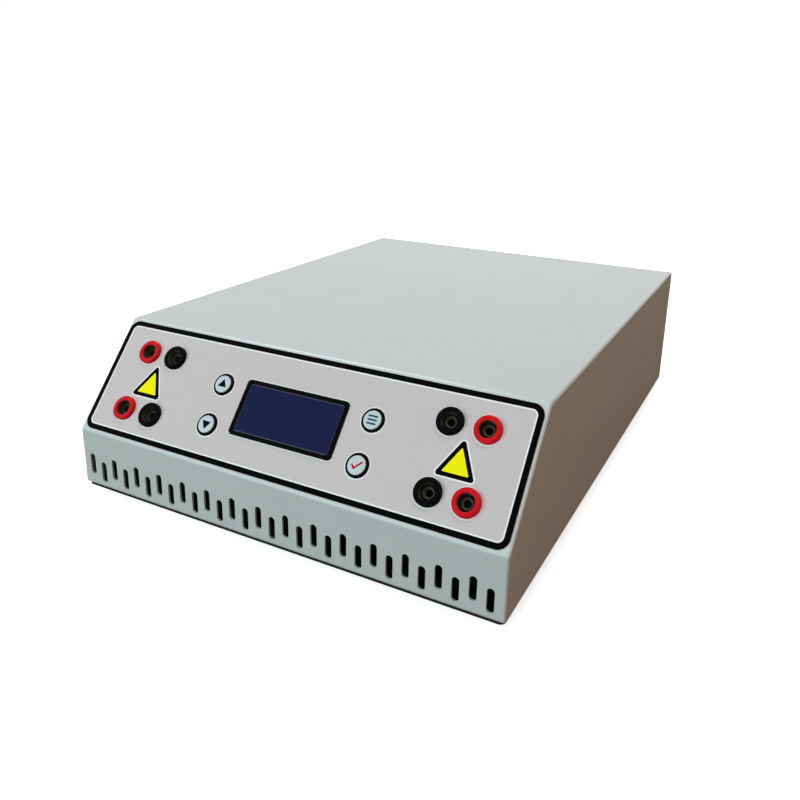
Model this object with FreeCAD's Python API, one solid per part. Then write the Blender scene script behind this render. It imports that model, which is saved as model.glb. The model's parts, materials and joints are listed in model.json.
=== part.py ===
import FreeCAD, Part
import math
import os
from FreeCAD import Placement, Rotation, Vector

# Electrophoresis power supply: a folded steel case whose sloping front carries a display,
# four keys and four pairs of output sockets. Sizes are in millimetres.
# X runs to the right, Y to the back and Z up. The origin is the middle of the footprint,
# on the surface that the feet stand on.

# Case of folded sheet
case_width = 258.0
case_depth = 350.0           # front face to the outer face of the rear panel
case_height = 89.0           # underside of the base plate to the top face
front_height = 35.0          # underside of the base plate to the front bend
slope_angle = 50.0           # degrees above the horizontal
sheet = 1.2
bend_radius = 3.0            # outside of the two long bends across the front
corner_radius = 2.0          # outside of the folds into the lips
edge_radius = 1.5            # ground corner welds along the two sides
base_lip = 14.0              # inward lip round the bottom
rear_lip = 8.0               # inward lip round the back
plate_margin = 1.0           # base plate and rear panel stop short of the case's faces
plate_corner = 3.0

# Vent slots of the front face, in two alternating levels
vent_count = 30
vent_margin = 7.49           # first and last slot's middle to the case's sides
vent_width = 3.8
vent_length = 12.6
vent_high = 14.5             # middle of a high slot above the base plate's underside
vent_low = 11.1

# Feet
foot_drop = 7.0              # ground to the underside of the base plate
foot_top_radius = 9.0
foot_bottom_radius = 7.5
foot_inset = 28.0            # foot's axis to the case's faces
foot_recess_radius = 4.2
foot_recess_depth = 3.6
foot_screw_length = 9.0

# Fasteners and fits
screw_radius = 1.5
screw_head_radius = 2.8
screw_head_height = 1.8
screw_length = 7.0
tapped_fit = 0.06            # radial, screw in a tapped hole
plain_fit = 0.2              # radial, screw in a plain hole
panel_fit = 0.1              # a body in its cut-out, each side
base_screw_rows = 3
base_screw_end = 50.0        # first and last screw of a side to the case's ends
rear_screw_end = 14.5        # rear screws to the rear panel's nominal top and bottom

# Printed film over the slope
film = 0.4
film_side_margin = 1.7
film_end_margin = 1.6
film_corner = 6.0
film_fit = 0.2               # film's holes are larger than the sheet's

# Output sockets: four pairs of shrouded 4 mm sockets
pair_spacing = 19.05
pair_margin = 34.525         # middle of a pair to the case's side
socket_high = 16.4           # up the slope from its middle
socket_low = -18.0
socket_flange_radius = 6.9
socket_flange_height = 2.2
socket_barrel_radius = 5.9
socket_depth = 22.0          # sheet's outer face to the barrel's end
socket_mouth_radius = 4.2
socket_mouth_chamfer = 0.5
socket_recess_depth = 16.0
sleeve_radius = 3.1          # insulating sleeve round the contact, which the plug's shroud slides over
sleeve_mouth_radius = 2.3
sleeve_lip = 0.7             # sleeve above the contact's rim
contact_radius = 2.5
contact_bore_radius = 2.0
contact_bore_depth = 19.0
contact_setback = 3.6        # contact's rim below the flange's face
contact_tail = 6.0
contact_fit = 0.05
nut_flats = 15.0
nut_height = 3.5

# Keys
key_gap = 14.85              # key's axis to the display's bezel
key_high = 8.3
key_low = -14.7
key_ring_radius = 6.2
key_ring_bore = 5.0
key_ring_height = 0.9
key_sleeve_radius = 5.7
key_sleeve_length = 1.5      # below the sheet's inner face
key_side_clearance = 0.2
key_rise = 0.5               # cap's face above its ring
key_chamfer = 0.4
key_collar_radius = 5.5
key_collar_height = 1.0
key_collar_gap = 0.1
key_stem_radius = 1.7
key_stem_fit = 0.15
key_stem_entry = 0.8

# Display
display_middle = -1.03       # up the slope
bezel_width = 62.9
bezel_height = 30.75
bezel_corner = 2.4
bezel_rise = 1.4
bezel_border = 2.1
bezel_chamfer = 0.4
bezel_sleeve_wall = 0.9
bezel_sleeve_length = 1.4    # below the sheet's inner face
bezel_ledge = 1.0
window_thickness = 2.2
window_setback = 0.8
window_corner = 1.2
lcd_border = 4.2             # module's frame beyond the bezel's opening
lcd_frame_wall = 0.6
lcd_gap = 0.3
lcd_glass_border = 1.6
lcd_glass_thickness = 2.8
backlight_gap = 0.2

# Control board behind the slope
control_depth = 9.0          # sheet's outer face to the board
control_width = 120.0
control_height = 50.0
board_thickness = 1.6
spacer_radius = 2.6
spacer_side = 54.0
spacer_rise = 20.5
spacer_bore_depth = 6.2
tact_size = 6.0
tact_height = 3.6
tact_bore_depth = 1.6

# Rear panel, which has a stamped finger guard in front of the fan
fan_margin = 53.0            # fan's axis to the case's side
inlet_margin = 45.0
switch_to_inlet = 48.0
rear_vent_count = 6
rear_vent_pitch = 7.0
rear_vent_width = 3.2
rear_vent_length = 44.0
guard_ring_count = 3
guard_first_radius = 7.5
guard_slot = 4.4
guard_web = 2.6
guard_spoke = 4.0

# Fan
fan_size = 60.0
fan_depth = 25.0
fan_corner = 4.0
fan_bore_radius = 28.75
fan_hole_spacing = 50.0
fan_hole_radius = 2.15
fan_hub_radius = 12.0
fan_hub_wall = 1.4
fan_hub_depth = 15.0
fan_hub_setback = 2.6        # hub's face behind the rear panel's inner face
fan_motor_clearance = 1.0
fan_carrier_radius = 13.0
fan_carrier_height = 3.0
fan_strut_width = 3.2
fan_shaft_radius = 1.5
fan_shaft_fit = 0.05
fan_shaft_length = 14.0
fan_shaft_floor = 1.0
fan_blade_count = 7
fan_tip_clearance = 1.1
fan_blade_thickness = 1.3
fan_root_chord = 15.0
fan_tip_chord = 19.0
fan_root_stagger = 52.0      # degrees from the fan's axis
fan_tip_stagger = 66.0
fan_blade_camber = 1.6
fan_screw_radius = 2.0
fan_screw_head_radius = 3.6
fan_screw_head_height = 2.2
fan_screw_length = 24.0

# Power switch
switch_bezel_width = 25.0
switch_bezel_height = 30.6
switch_bezel_rise = 2.0
switch_bezel_corner = 1.5
switch_body_width = 21.4
switch_body_height = 27.2
switch_body_depth = 22.0
switch_tab_width = 6.3
switch_tab_thickness = 0.8
switch_tab_length = 8.0
switch_tab_spacing = 8.5
rocker_width = 16.8
rocker_half_length = 11.0
rocker_side_clearance = 0.3
rocker_end_clearance = 1.4
rocker_crown = 1.6           # middle of the rocker's face above the panel
rocker_tilt = 9.0            # degrees each side of level
rocker_pivot_depth = 3.5
rocker_shoulder_depth = 2.5
rocker_keel_half = 5.5
rocker_keel_depth = 6.5
rocker_round = 0.6
rocker_dish = 8.0            # radius at the middle of the rocker's face
rocker_pin_radius = 1.5
rocker_pin_length = 1.5
rocker_pin_fit = 0.05
rocker_well_depth = 10.5

# Mains inlet with its fuse drawer
inlet_flange_width = 50.0
inlet_flange_height = 34.0
inlet_flange_rise = 2.6
inlet_flange_corner = 6.0
inlet_body_width = 27.4
inlet_body_height = 32.0
inlet_body_depth = 26.0
inlet_screw_spacing = 40.0
inlet_recess_width = 24.4
inlet_recess_height = 17.0
inlet_recess_depth = 15.0
inlet_recess_chamfer = 5.0
inlet_recess_corner = 1.5
inlet_recess_middle = 6.5    # above the inlet's middle
inlet_pin_spacing = 7.0      # from the earth pin to each side pin
inlet_pin_width = 2.0
inlet_pin_height = 4.0
inlet_pin_length = 16.0
inlet_earth_rise = 4.0
inlet_pin_drop = 2.0         # side pins below the recess's middle
inlet_tab_length = 8.0
inlet_tab_width = 6.3
inlet_tab_thickness = 0.8
inlet_pin_fit = 0.05
drawer_middle = -10.2
drawer_width = 23.8
drawer_height = 8.4
drawer_depth = 19.0
drawer_clearance = 0.3
drawer_floor = 1.5
drawer_notch_width = 9.0
drawer_notch_depth = 1.6
fuse_radius = 2.6
fuse_length = 20.0
fuse_cap_length = 5.5
fuse_neck = 0.25
fuse_fit = 0.15
fuse_depth = 14.0            # fuse's axis behind the rear panel's outer face

# Main board and what stands on it, in places from the board's middle unless a comment says otherwise
standoff_height = 8.0
standoff_flats = 5.5
main_board_margin = 34.0     # half of what the board is narrower than the case
main_board_depth = 200.0
main_board_setback = 62.0    # case's front face to the board's front edge
main_board_x = -14.0
main_board_corner = 2.0
main_board_hole_inset = 6.0
transformer_inset = 47.0     # from the board's left edge
transformer_y = 37.5
core_width = 56.0
core_height = 44.0
core_depth = 20.0
core_leg = 10.0
core_centre_leg = 16.0
core_yoke = 9.0
coil_wall = 9.0
coil_clearance = 0.3
coil_corner = 4.0
sink_inset = 47.0            # from the board's right edge
sink_y = 43.5
sink_length = 90.0
sink_height = 42.0
sink_base = 4.0
sink_fin_count = 11
sink_fin_length = 16.0
sink_fin_thickness = 1.6
transistor_count = 4
transistor_pitch = 21.0
transistor_width = 10.0
transistor_height = 15.5
transistor_thickness = 4.5
transistor_lift = 12.0
transistor_lead = 0.8
transistor_lead_pitch = 2.54
capacitor_inset = 43.0       # from the board's left edge
capacitor_y = -32.5
capacitor_radius = 12.5
capacitor_height = 42.0
capacitor_chamfer = 1.2
capacitor_pitch = 28.0
capacitor_count = 3
relay_x = -22.0
relay_y = -66.5
relay_length = 19.0
relay_width = 15.2
relay_height = 15.6
relay_pitch = 24.0
relay_count = 4
rectifier_x = 8.0
rectifier_y = 85.5
rectifier_width = 22.0
rectifier_height = 18.5
rectifier_thickness = 4.6
rectifier_chamfer = 3.0
choke_inset = 19.0           # from the board's right edge
choke_y = -26.5
choke_radius = 15.0
choke_bore = 7.5
choke_height = 13.0
choke_chamfer = 2.0
terminal_y = -88.5
terminal_count = 4
terminal_pitch = 40.0
terminal_length = 20.0
terminal_width = 10.0
terminal_height = 12.0
terminal_hole_radius = 2.0
terminal_hole_spacing = 10.0
terminal_hole_depth = 7.0

# Levels and places that follow from the sizes above
tilt = math.radians(rocker_tilt)
rocker_end_rise = rocker_crown + rocker_half_length * math.tan(tilt)
rocker_end_height = rocker_pivot_depth + rocker_end_rise
rear_reach = rocker_half_length * math.sin(tilt) + rocker_end_height * math.cos(tilt) - rocker_pivot_depth
front_y = -(case_depth + rear_reach) / 2
rear_y = front_y + case_depth
cover_back_y = rear_y - sheet
cover_middle_y = (front_y + cover_back_y) / 2
plate_bottom = foot_drop
plate_top = plate_bottom + sheet
case_top = plate_bottom + case_height
front_bend_z = plate_bottom + front_height
rear_middle_z = plate_bottom + case_height / 2
slope = math.radians(slope_angle)
slope_rise = case_top - front_bend_z
slope_run = slope_rise / math.tan(slope)
slope_length = slope_rise / math.sin(slope)
bezel_opening_width = bezel_width - 2 * bezel_border
bezel_opening_height = bezel_height - 2 * bezel_border
bezel_bottom = -sheet - bezel_sleeve_length
window_top = film + bezel_rise - window_setback
window_bottom = window_top - window_thickness
socket_face = film + socket_flange_height
contact_top = socket_face - contact_setback
pair_offset = case_width / 2 - pair_margin
key_offset = bezel_width / 2 + key_gap
key_sleeve_bottom = -sheet - key_sleeve_length
main_board_width = case_width - 2 * main_board_margin
main_board_y = front_y + main_board_setback + main_board_depth / 2
main_board_z = plate_top + standoff_height
main_board_top = main_board_z + board_thickness
vent_pitch = (case_width - 2 * vent_margin) / (vent_count - 1)
base_screw_span = case_depth - 2 * base_screw_end
rear_screw_span = case_height - 2 * rear_screw_end
fan_x = fan_margin - case_width / 2
inlet_x = case_width / 2 - inlet_margin
power_switch_x = inlet_x - switch_to_inlet
fan_side = fan_x + fan_size / 2
switch_side = power_switch_x - switch_bezel_width / 2
rear_vent_x = (fan_side + switch_side) / 2
transformer_x = transformer_inset - main_board_width / 2
capacitor_x = capacitor_inset - main_board_width / 2
sink_x = main_board_width / 2 - sink_inset
choke_x = main_board_width / 2 - choke_inset
flat = 0.01                  # an edge or face that is thinner than this lies in one plane

# Frames of the case's faces: in each, X and Y lie in the face and Z points out of it
upright = Placement()
on_front = Placement(Vector(0, front_y, plate_bottom), Rotation(Vector(1, 0, 0), 90))
on_slope = Placement(
    Vector(0, front_y + slope_run / 2, front_bend_z + slope_rise / 2),
    Rotation(Vector(1, 0, 0), slope_angle),
)
on_rear = Placement(
    Vector(0, rear_y, rear_middle_z),
    Rotation(Vector(-1, 0, 0), Vector(0, 0, 1), Vector(0, 1, 0), "XYZ"),
)
under_base = Placement(Vector(0, cover_middle_y, plate_bottom), Rotation(Vector(1, 0, 0), 180))


def placed(shape, placement):
    """A copy of a shape, carried from a face's frame to its place on the case."""
    copy = shape.copy()
    copy.Placement = placement.multiply(copy.Placement)
    return copy


def export(name, shapes, placement=upright):
    """Write one sub-part, a solid or a group of separate solids, under its own name."""
    group = shapes if isinstance(shapes, list) else [shapes]
    solids = [solid for shape in group for solid in placed(shape, placement).Solids]
    result = solids[0] if len(solids) == 1 else Part.Compound(solids)
    result.exportStep(os.path.join("parts", name + ".step"))


def block(width, height, bottom, top, x=0.0, y=0.0):
    """A box centred on x and y, from bottom to top along Z."""
    return Part.makeBox(width, height, top - bottom, Vector(x - width / 2, y - height / 2, bottom))


def disc(radius, bottom, top, x=0.0, y=0.0):
    """A round bar about an upright axis at x and y."""
    return Part.makeCylinder(radius, top - bottom, Vector(x, y, bottom))


def rounded_wire(corners, radii):
    """A closed outline through corner points, each turned with its own radius."""
    count = len(corners)
    turns = []
    for index, corner in enumerate(corners):
        back = (corners[index - 1] - corner).normalize()
        ahead = (corners[(index + 1) % count] - corner).normalize()
        half = back.getAngle(ahead) / 2
        bisector = (back + ahead).normalize()
        reach = radii[index] / math.tan(half)
        middle = corner + bisector * (radii[index] / math.sin(half) - radii[index])
        turns.append((corner + back * reach, middle, corner + ahead * reach))
    edges = []
    for index, (start, middle, end) in enumerate(turns):
        if radii[index] > 0:
            edges.append(Part.Arc(start, middle, end).toShape())
        following = turns[(index + 1) % count][0]
        if (following - end).Length > flat:
            edges.append(Part.LineSegment(end, following).toShape())
    return Part.Wire(edges)


def rounded_plate(width, height, radius, bottom, top, x=0.0, y=0.0):
    """A plate with four round corners; a radius of half its width makes a slot."""
    half_width = width / 2
    half_height = height / 2
    signs = ((-1, -1), (1, -1), (1, 1), (-1, 1))
    corners = [Vector(x + i * half_width, y + j * half_height, bottom) for i, j in signs]
    wire = rounded_wire(corners, [radius] * len(corners))
    return Part.Face(wire).extrude(Vector(0, 0, top - bottom))


def hexagon(flats, bottom, top, x=0.0, y=0.0):
    """A hexagonal bar, measured across its flats."""
    reach = flats / 2 / math.cos(math.pi / 6)
    turns = [math.pi / 3 * index for index in range(6)]
    corners = [Vector(x + reach * math.cos(a), y + reach * math.sin(a), bottom) for a in turns]
    return Part.Face(Part.makePolygon(corners + corners[:1])).extrude(Vector(0, 0, top - bottom))


def turned(profile, radii=None):
    """A body of revolution about Z, from (radius, height) points."""
    corners = [Vector(radius, 0, height) for radius, height in profile]
    wire = rounded_wire(corners, radii if radii else [0] * len(corners))
    return Part.Face(wire).revolve(Vector(0, 0, 0), Vector(0, 0, 1), 360)


def along_x(profile, radii, width):
    """A prism across X, centred on it, from (y, z) points."""
    corners = [Vector(-width / 2, y, z) for y, z in profile]
    return Part.Face(rounded_wire(corners, radii)).extrude(Vector(width, 0, 0))


def moved(shape, x=0.0, y=0.0, z=0.0):
    """A copy of a shape at another place in the same frame."""
    return placed(shape, Placement(Vector(x, y, z), Rotation()))


def row(count, pitch):
    """Evenly spaced offsets about zero."""
    return [(index - (count - 1) / 2) * pitch for index in range(count)]


def rim(shape, height):
    """The edges of a shape that lie in the plane at one height."""
    return [
        edge for edge in shape.Edges
        if edge.BoundBox.ZLength < flat and abs(edge.BoundBox.ZMin - height) < flat
    ]


def pan_screw(radius, head_radius, head_height, length):
    """A screw whose head stands on Z = 0 and whose shank runs down from it."""
    profile = [(0, -length), (radius, -length), (radius, 0), (head_radius, 0),
               (head_radius, head_height), (0, head_height)]
    return turned(profile)


def machine_screw():
    """The M3 screw used all over the case."""
    return pan_screw(screw_radius, screw_head_radius, screw_head_height, screw_length)


# Places that several sub-parts share

def socket_places(red):
    """The red sockets are the outer ones of the four pairs, the black ones the inner ones."""
    offset = pair_offset + (pair_spacing / 2 if red else -pair_spacing / 2)
    return {"upper": [(-offset, socket_high), (offset, socket_high)],
            "lower": [(-offset, socket_low), (offset, socket_low)]}


def all_socket_places():
    """All eight sockets of the slope."""
    return [place for red in (True, False) for pair in socket_places(red).values() for place in pair]


def key_places():
    """The four keys, two on each side of the display."""
    return {"up": (-key_offset, key_high), "down": (-key_offset, key_low),
            "set": (key_offset, key_high), "ok": (key_offset, key_low)}


def foot_places():
    """Foot axes seen from below the base plate, front pair first."""
    side = case_width / 2 - foot_inset
    reach = case_depth / 2 - foot_inset
    return {"front": [(-side, reach), (side, reach)], "rear": [(-side, -reach), (side, -reach)]}


def base_screw_places():
    """Screws through the base plate into the lips, seen from below."""
    side = case_width / 2 - base_lip / 2
    end = (cover_back_y - front_y) / 2 - base_lip / 2
    along = row(base_screw_rows, base_screw_span / (base_screw_rows - 1))
    return [(i * side, y) for i in (-1, 1) for y in along] + [(0, end), (0, -end)]


def rear_screw_places():
    """Screws through the rear panel into the cover's rear lips."""
    side = case_width / 2 - rear_lip / 2
    top = case_height / 2 - rear_lip / 2
    rise = rear_screw_span / 2
    return [(i * side, j * rise) for i in (-1, 1) for j in (-1, 1)] + [(0, top)]


def fan_screw_places():
    """The fan's four corner holes in the rear panel's frame."""
    half = fan_hole_spacing / 2
    return [(-fan_x + i * half, j * half) for i in (-1, 1) for j in (-1, 1)]


def inlet_screw_places():
    """The two screws of the inlet's flange in the rear panel's frame."""
    return [(-inlet_x + i * inlet_screw_spacing / 2, 0) for i in (-1, 1)]


def spacer_places():
    """The control board's four corners on the slope."""
    return [(i * spacer_side, display_middle + j * spacer_rise) for i in (-1, 1) for j in (-1, 1)]


def main_board_places():
    """The main board's six standoffs."""
    side = main_board_width / 2 - main_board_hole_inset
    reach = main_board_depth / 2 - main_board_hole_inset
    return [(main_board_x + i * side, main_board_y + j * reach) for i in (-1, 1) for j in (-1, 0, 1)]


# Case

def case_solid(inset):
    """The case's closed outer form, or that form moved inwards by a distance."""
    corners = [(front_y, plate_top), (front_y, front_bend_z), (front_y + slope_run, case_top),
               (cover_back_y, case_top), (cover_back_y, plate_top)]
    points = [Vector(0, y, z) for y, z in corners]
    inner = []
    for index, point in enumerate(points):
        before = (point - points[index - 1]).normalize()
        after = (points[(index + 1) % len(points)] - point).normalize()
        normal_before = Vector(0, before.z, -before.y)
        normal_after = Vector(0, after.z, -after.y)
        share = inset / (1 + normal_before.dot(normal_after))
        step = (normal_before + normal_after) * share
        inner.append((point.y + step.y, point.z + step.z))
    bend = bend_radius - inset
    corner = corner_radius - inset
    return along_x(inner, [corner, bend, bend, corner, corner], case_width - 2 * inset)


def slope_cutters(margin):
    """What the slope leaves open for sockets, keys and display, grown by a margin."""
    bottom = -2 * sheet
    top = 2 * film
    growth = panel_fit + margin
    cutters = [disc(socket_barrel_radius + growth, bottom, top, x, v) for x, v in all_socket_places()]
    cutters += [disc(key_sleeve_radius + growth, bottom, top, x, v) for x, v in key_places().values()]
    wall = bezel_sleeve_wall + growth
    width = bezel_opening_width + 2 * wall
    height = bezel_opening_height + 2 * wall
    cutters.append(rounded_plate(width, height, window_corner + wall, bottom, top, y=display_middle))
    return cutters


def cover_shell():
    """One folded sheet: front, slope, top and sides, with lips round the bottom and the back."""
    outer = case_solid(0.0)
    seams = [edge for edge in outer.Edges if edge.BoundBox.XLength < flat]
    outer = outer.makeFillet(edge_radius, seams)
    base_width = case_width - 2 * base_lip
    base_depth = cover_back_y - front_y - 2 * base_lip
    base_hole = block(base_width, base_depth, plate_top - sheet, plate_top + 2 * sheet, y=cover_middle_y)
    rear_bottom = -case_height / 2 + sheet + rear_lip
    rear_top = case_height / 2 - rear_lip
    rear_hole = block(case_width - 2 * rear_lip, rear_top - rear_bottom, -3 * sheet, 0,
                      y=(rear_top + rear_bottom) / 2)
    cutters = [case_solid(sheet), base_hole, placed(rear_hole, on_rear)]
    for index, x in enumerate(row(vent_count, vent_pitch)):
        height = vent_low if index % 2 else vent_high
        slot = rounded_plate(vent_width, vent_length, vent_width / 2, -2 * sheet, sheet, x, height)
        cutters.append(placed(slot, on_front))
    cutters += [placed(cutter, on_slope) for cutter in slope_cutters(0.0)]
    tapped = screw_radius + tapped_fit
    cutters += [placed(disc(tapped, -3 * sheet, 0, x, y), under_base) for x, y in base_screw_places()]
    cutters += [placed(disc(tapped, -3 * sheet, 0, x, y), on_rear) for x, y in rear_screw_places()]
    return outer.cut(cutters)


def base_plate():
    """Flat plate under the lips, which carries the feet and the main board."""
    width = case_width - 2 * plate_margin
    depth = cover_back_y - front_y - 2 * plate_margin
    plate = rounded_plate(width, depth, plate_corner, -sheet, 0)
    tapped = screw_radius + tapped_fit
    cutters = [disc(screw_radius + plain_fit, -sheet, 0, x, y) for x, y in base_screw_places()]
    cutters += [disc(tapped, -sheet, 0, x, y) for pair in foot_places().values() for x, y in pair]
    return plate.cut(cutters)


def guard_slots():
    """Rings of curved slots in front of the fan, parted by two crossing spokes."""
    slots = []
    for ring in range(guard_ring_count):
        inner = guard_first_radius + ring * (guard_slot + guard_web)
        slots.append(disc(inner + guard_slot, -2 * sheet, sheet).cut(disc(inner, -2 * sheet, sheet)))
    reach = 2 * fan_bore_radius
    spokes = []
    for turn in (45, 135):
        spoke = block(reach, guard_spoke, -2 * sheet, sheet)
        spoke.rotate(Vector(0, 0, 0), Vector(0, 0, 1), turn)
        spokes.append(spoke)
    return [moved(slot.cut(spokes), x=-fan_x) for slot in slots]


def rear_panel():
    """Plate over the rear lips, with the openings of fan, vents, switch and inlet."""
    width = case_width - 2 * plate_margin
    bottom = -case_height / 2 + sheet + plate_margin
    top = case_height / 2 - plate_margin
    plate = rounded_plate(width, top - bottom, plate_corner, -sheet, 0, y=(top + bottom) / 2)
    cutters = guard_slots()
    for x in row(rear_vent_count, rear_vent_pitch):
        cutters.append(rounded_plate(rear_vent_width, rear_vent_length, rear_vent_width / 2,
                                     -2 * sheet, sheet, x - rear_vent_x))
    cutters.append(block(switch_body_width + 2 * panel_fit, switch_body_height + 2 * panel_fit,
                         -2 * sheet, sheet, -power_switch_x))
    cutters.append(block(inlet_body_width + 2 * panel_fit, inlet_body_height + 2 * panel_fit,
                         -2 * sheet, sheet, -inlet_x))
    plain = screw_radius + plain_fit
    cutters += [disc(plain, -2 * sheet, sheet, x, y) for x, y in rear_screw_places()]
    cutters += [disc(screw_radius + tapped_fit, -2 * sheet, sheet, x, y) for x, y in inlet_screw_places()]
    cutters += [disc(fan_hole_radius, -2 * sheet, sheet, x, y) for x, y in fan_screw_places()]
    return plate.cut(cutters)


def foot():
    """Tapered rubber foot on its screw; Z points down, away from the base plate."""
    profile = [(screw_radius + plain_fit, 0), (foot_top_radius, 0), (foot_bottom_radius, foot_drop),
               (foot_recess_radius, foot_drop), (foot_recess_radius, foot_drop - foot_recess_depth),
               (screw_radius + plain_fit, foot_drop - foot_recess_depth)]
    return turned(profile)


def foot_screw():
    """The screw in the foot's recess, which taps into the base plate."""
    screw = pan_screw(screw_radius, screw_head_radius, screw_head_height, foot_screw_length)
    return moved(screw, z=foot_drop - foot_recess_depth)


# Sloping panel

def overlay_panel():
    """Printed film over the slope, open at sockets, keys and display."""
    width = case_width - 2 * film_side_margin
    height = slope_length - 2 * film_end_margin
    return rounded_plate(width, height, film_corner, 0, film).cut(slope_cutters(film_fit))


def socket_body():
    """Insulating barrel with a flange, open at the front for a plug's shroud."""
    chamfer = socket_mouth_chamfer
    hold = sleeve_radius + contact_fit
    floor = socket_face - socket_recess_depth
    profile = [(hold, -socket_depth), (socket_barrel_radius, -socket_depth), (socket_barrel_radius, film),
               (socket_flange_radius, film), (socket_flange_radius, socket_face - chamfer),
               (socket_flange_radius - chamfer, socket_face), (socket_mouth_radius + chamfer, socket_face),
               (socket_mouth_radius, socket_face - chamfer), (socket_mouth_radius, floor), (hold, floor)]
    return turned(profile)


def contact_sleeve():
    """Insulating sleeve, whose lip keeps a finger off the contact's rim."""
    hold = contact_radius + contact_fit
    seat = contact_top + contact_fit
    top = seat + sleeve_lip
    return turned([(hold, -socket_depth), (sleeve_radius, -socket_depth), (sleeve_radius, top),
                   (sleeve_mouth_radius, top), (sleeve_mouth_radius, seat), (hold, seat)])


def socket_contact():
    """Plated brass tube in its sleeve, blind at the back, with a tail for its lead."""
    floor = contact_top - contact_bore_depth
    profile = [(0, -socket_depth - contact_tail), (contact_radius, -socket_depth - contact_tail),
               (contact_radius, contact_top), (contact_bore_radius, contact_top),
               (contact_bore_radius, floor), (0, floor)]
    return turned(profile)


def socket_nut():
    """Flat hexagonal nut behind the sheet."""
    nut = hexagon(nut_flats, -sheet - nut_height, -sheet)
    return nut.cut(disc(socket_barrel_radius + contact_fit, -sheet - nut_height, -sheet))


def key_ring():
    """Black ring on the film whose sleeve guides the key's cap."""
    top = film + key_ring_height
    chamfer = key_chamfer
    profile = [(key_ring_bore, key_sleeve_bottom), (key_sleeve_radius, key_sleeve_bottom),
               (key_sleeve_radius, film), (key_ring_radius, film), (key_ring_radius, top - chamfer),
               (key_ring_radius - chamfer, top), (key_ring_bore, top)]
    return turned(profile)


def key_cap():
    """Round key: a face in the ring, a collar that stops it, and a stem into its switch."""
    top = film + key_ring_height + key_rise
    radius = key_ring_bore - key_side_clearance
    collar_top = key_sleeve_bottom - key_collar_gap
    collar_bottom = collar_top - key_collar_height
    stem_bottom = -control_depth + tact_height - key_stem_entry
    profile = [(0, stem_bottom), (key_stem_radius, stem_bottom), (key_stem_radius, collar_bottom),
               (key_collar_radius, collar_bottom), (key_collar_radius, collar_top), (radius, collar_top),
               (radius, top - key_chamfer), (radius - key_chamfer, top), (0, top)]
    return turned(profile)


def tact_switch():
    """Small push switch on the control board, whose bore takes the key's stem."""
    top = -control_depth + tact_height
    bore = disc(key_stem_radius + key_stem_fit, top - tact_bore_depth, top)
    return block(tact_size, tact_size, -control_depth, top).cut(bore)


def display_bezel():
    """Black frame round the display: a rim on the film, a sleeve through the sheet and a ledge."""
    top = film + bezel_rise
    width = bezel_opening_width
    height = bezel_opening_height
    wall = 2 * bezel_sleeve_wall
    frame = rounded_plate(bezel_width, bezel_height, bezel_corner, film, top)
    frame = frame.makeChamfer(bezel_chamfer, rim(frame, top))
    sleeve = rounded_plate(width + wall, height + wall, window_corner + bezel_sleeve_wall,
                           bezel_bottom, film)
    opening = rounded_plate(width, height, window_corner, window_bottom, top)
    sight = rounded_plate(width - 2 * bezel_ledge, height - 2 * bezel_ledge, window_corner,
                          bezel_bottom, top)
    return moved(frame.fuse(sleeve).cut([opening, sight]), y=display_middle)


def display_window():
    """Clear pane that lies on the bezel's ledge."""
    width = bezel_opening_width - 2 * panel_fit
    height = bezel_opening_height - 2 * panel_fit
    return rounded_plate(width, height, window_corner, window_bottom, window_top, y=display_middle)


def lcd_size():
    """Outer width, height and top of the display module's frame."""
    border = 2 * lcd_border
    return bezel_opening_width + border, bezel_opening_height + border, bezel_bottom - lcd_gap


def lcd_frame():
    """Folded metal frame of the display module, open to the front and to its board."""
    width, height, top = lcd_size()
    wall = 2 * lcd_frame_wall
    frame = block(width, height, -control_depth, top)
    hollow = block(width - wall, height - wall, -control_depth, top - lcd_frame_wall)
    sight = block(bezel_opening_width - 2 * bezel_ledge, bezel_opening_height - 2 * bezel_ledge,
                  -control_depth, top)
    return moved(frame.cut([hollow, sight]), y=display_middle)


def lcd_glass():
    """Liquid crystal panel against the inside of its frame."""
    width, height, top = lcd_size()
    glass_top = top - lcd_frame_wall
    border = 2 * lcd_glass_border
    return block(width - border, height - border, glass_top - lcd_glass_thickness, glass_top,
                 y=display_middle)


def lcd_backlight():
    """White light guide between the panel and the control board."""
    width, height, top = lcd_size()
    border = 2 * lcd_glass_border
    return block(width - border, height - border, -control_depth,
                 top - lcd_frame_wall - lcd_glass_thickness - backlight_gap, y=display_middle)


def control_board():
    """Board behind the slope, which carries the display module and the push switches."""
    bottom = -control_depth - board_thickness
    board = block(control_width, control_height, bottom, -control_depth, y=display_middle)
    hole = screw_radius + plain_fit
    return board.cut([disc(hole, bottom, -control_depth, x, v) for x, v in spacer_places()])


def board_spacer():
    """Welded spacer between the sheet and the control board, tapped from behind."""
    bore = disc(screw_radius + tapped_fit, -control_depth, -control_depth + spacer_bore_depth)
    return disc(spacer_radius, -control_depth, -sheet).cut(bore)


def control_board_screw():
    """Screw from behind the control board into its spacer."""
    screw = machine_screw()
    screw.rotate(Vector(0, 0, 0), Vector(1, 0, 0), 180)
    return moved(screw, z=-control_depth - board_thickness)


# Rear: fan, power switch and mains inlet, each in its own middle

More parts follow.
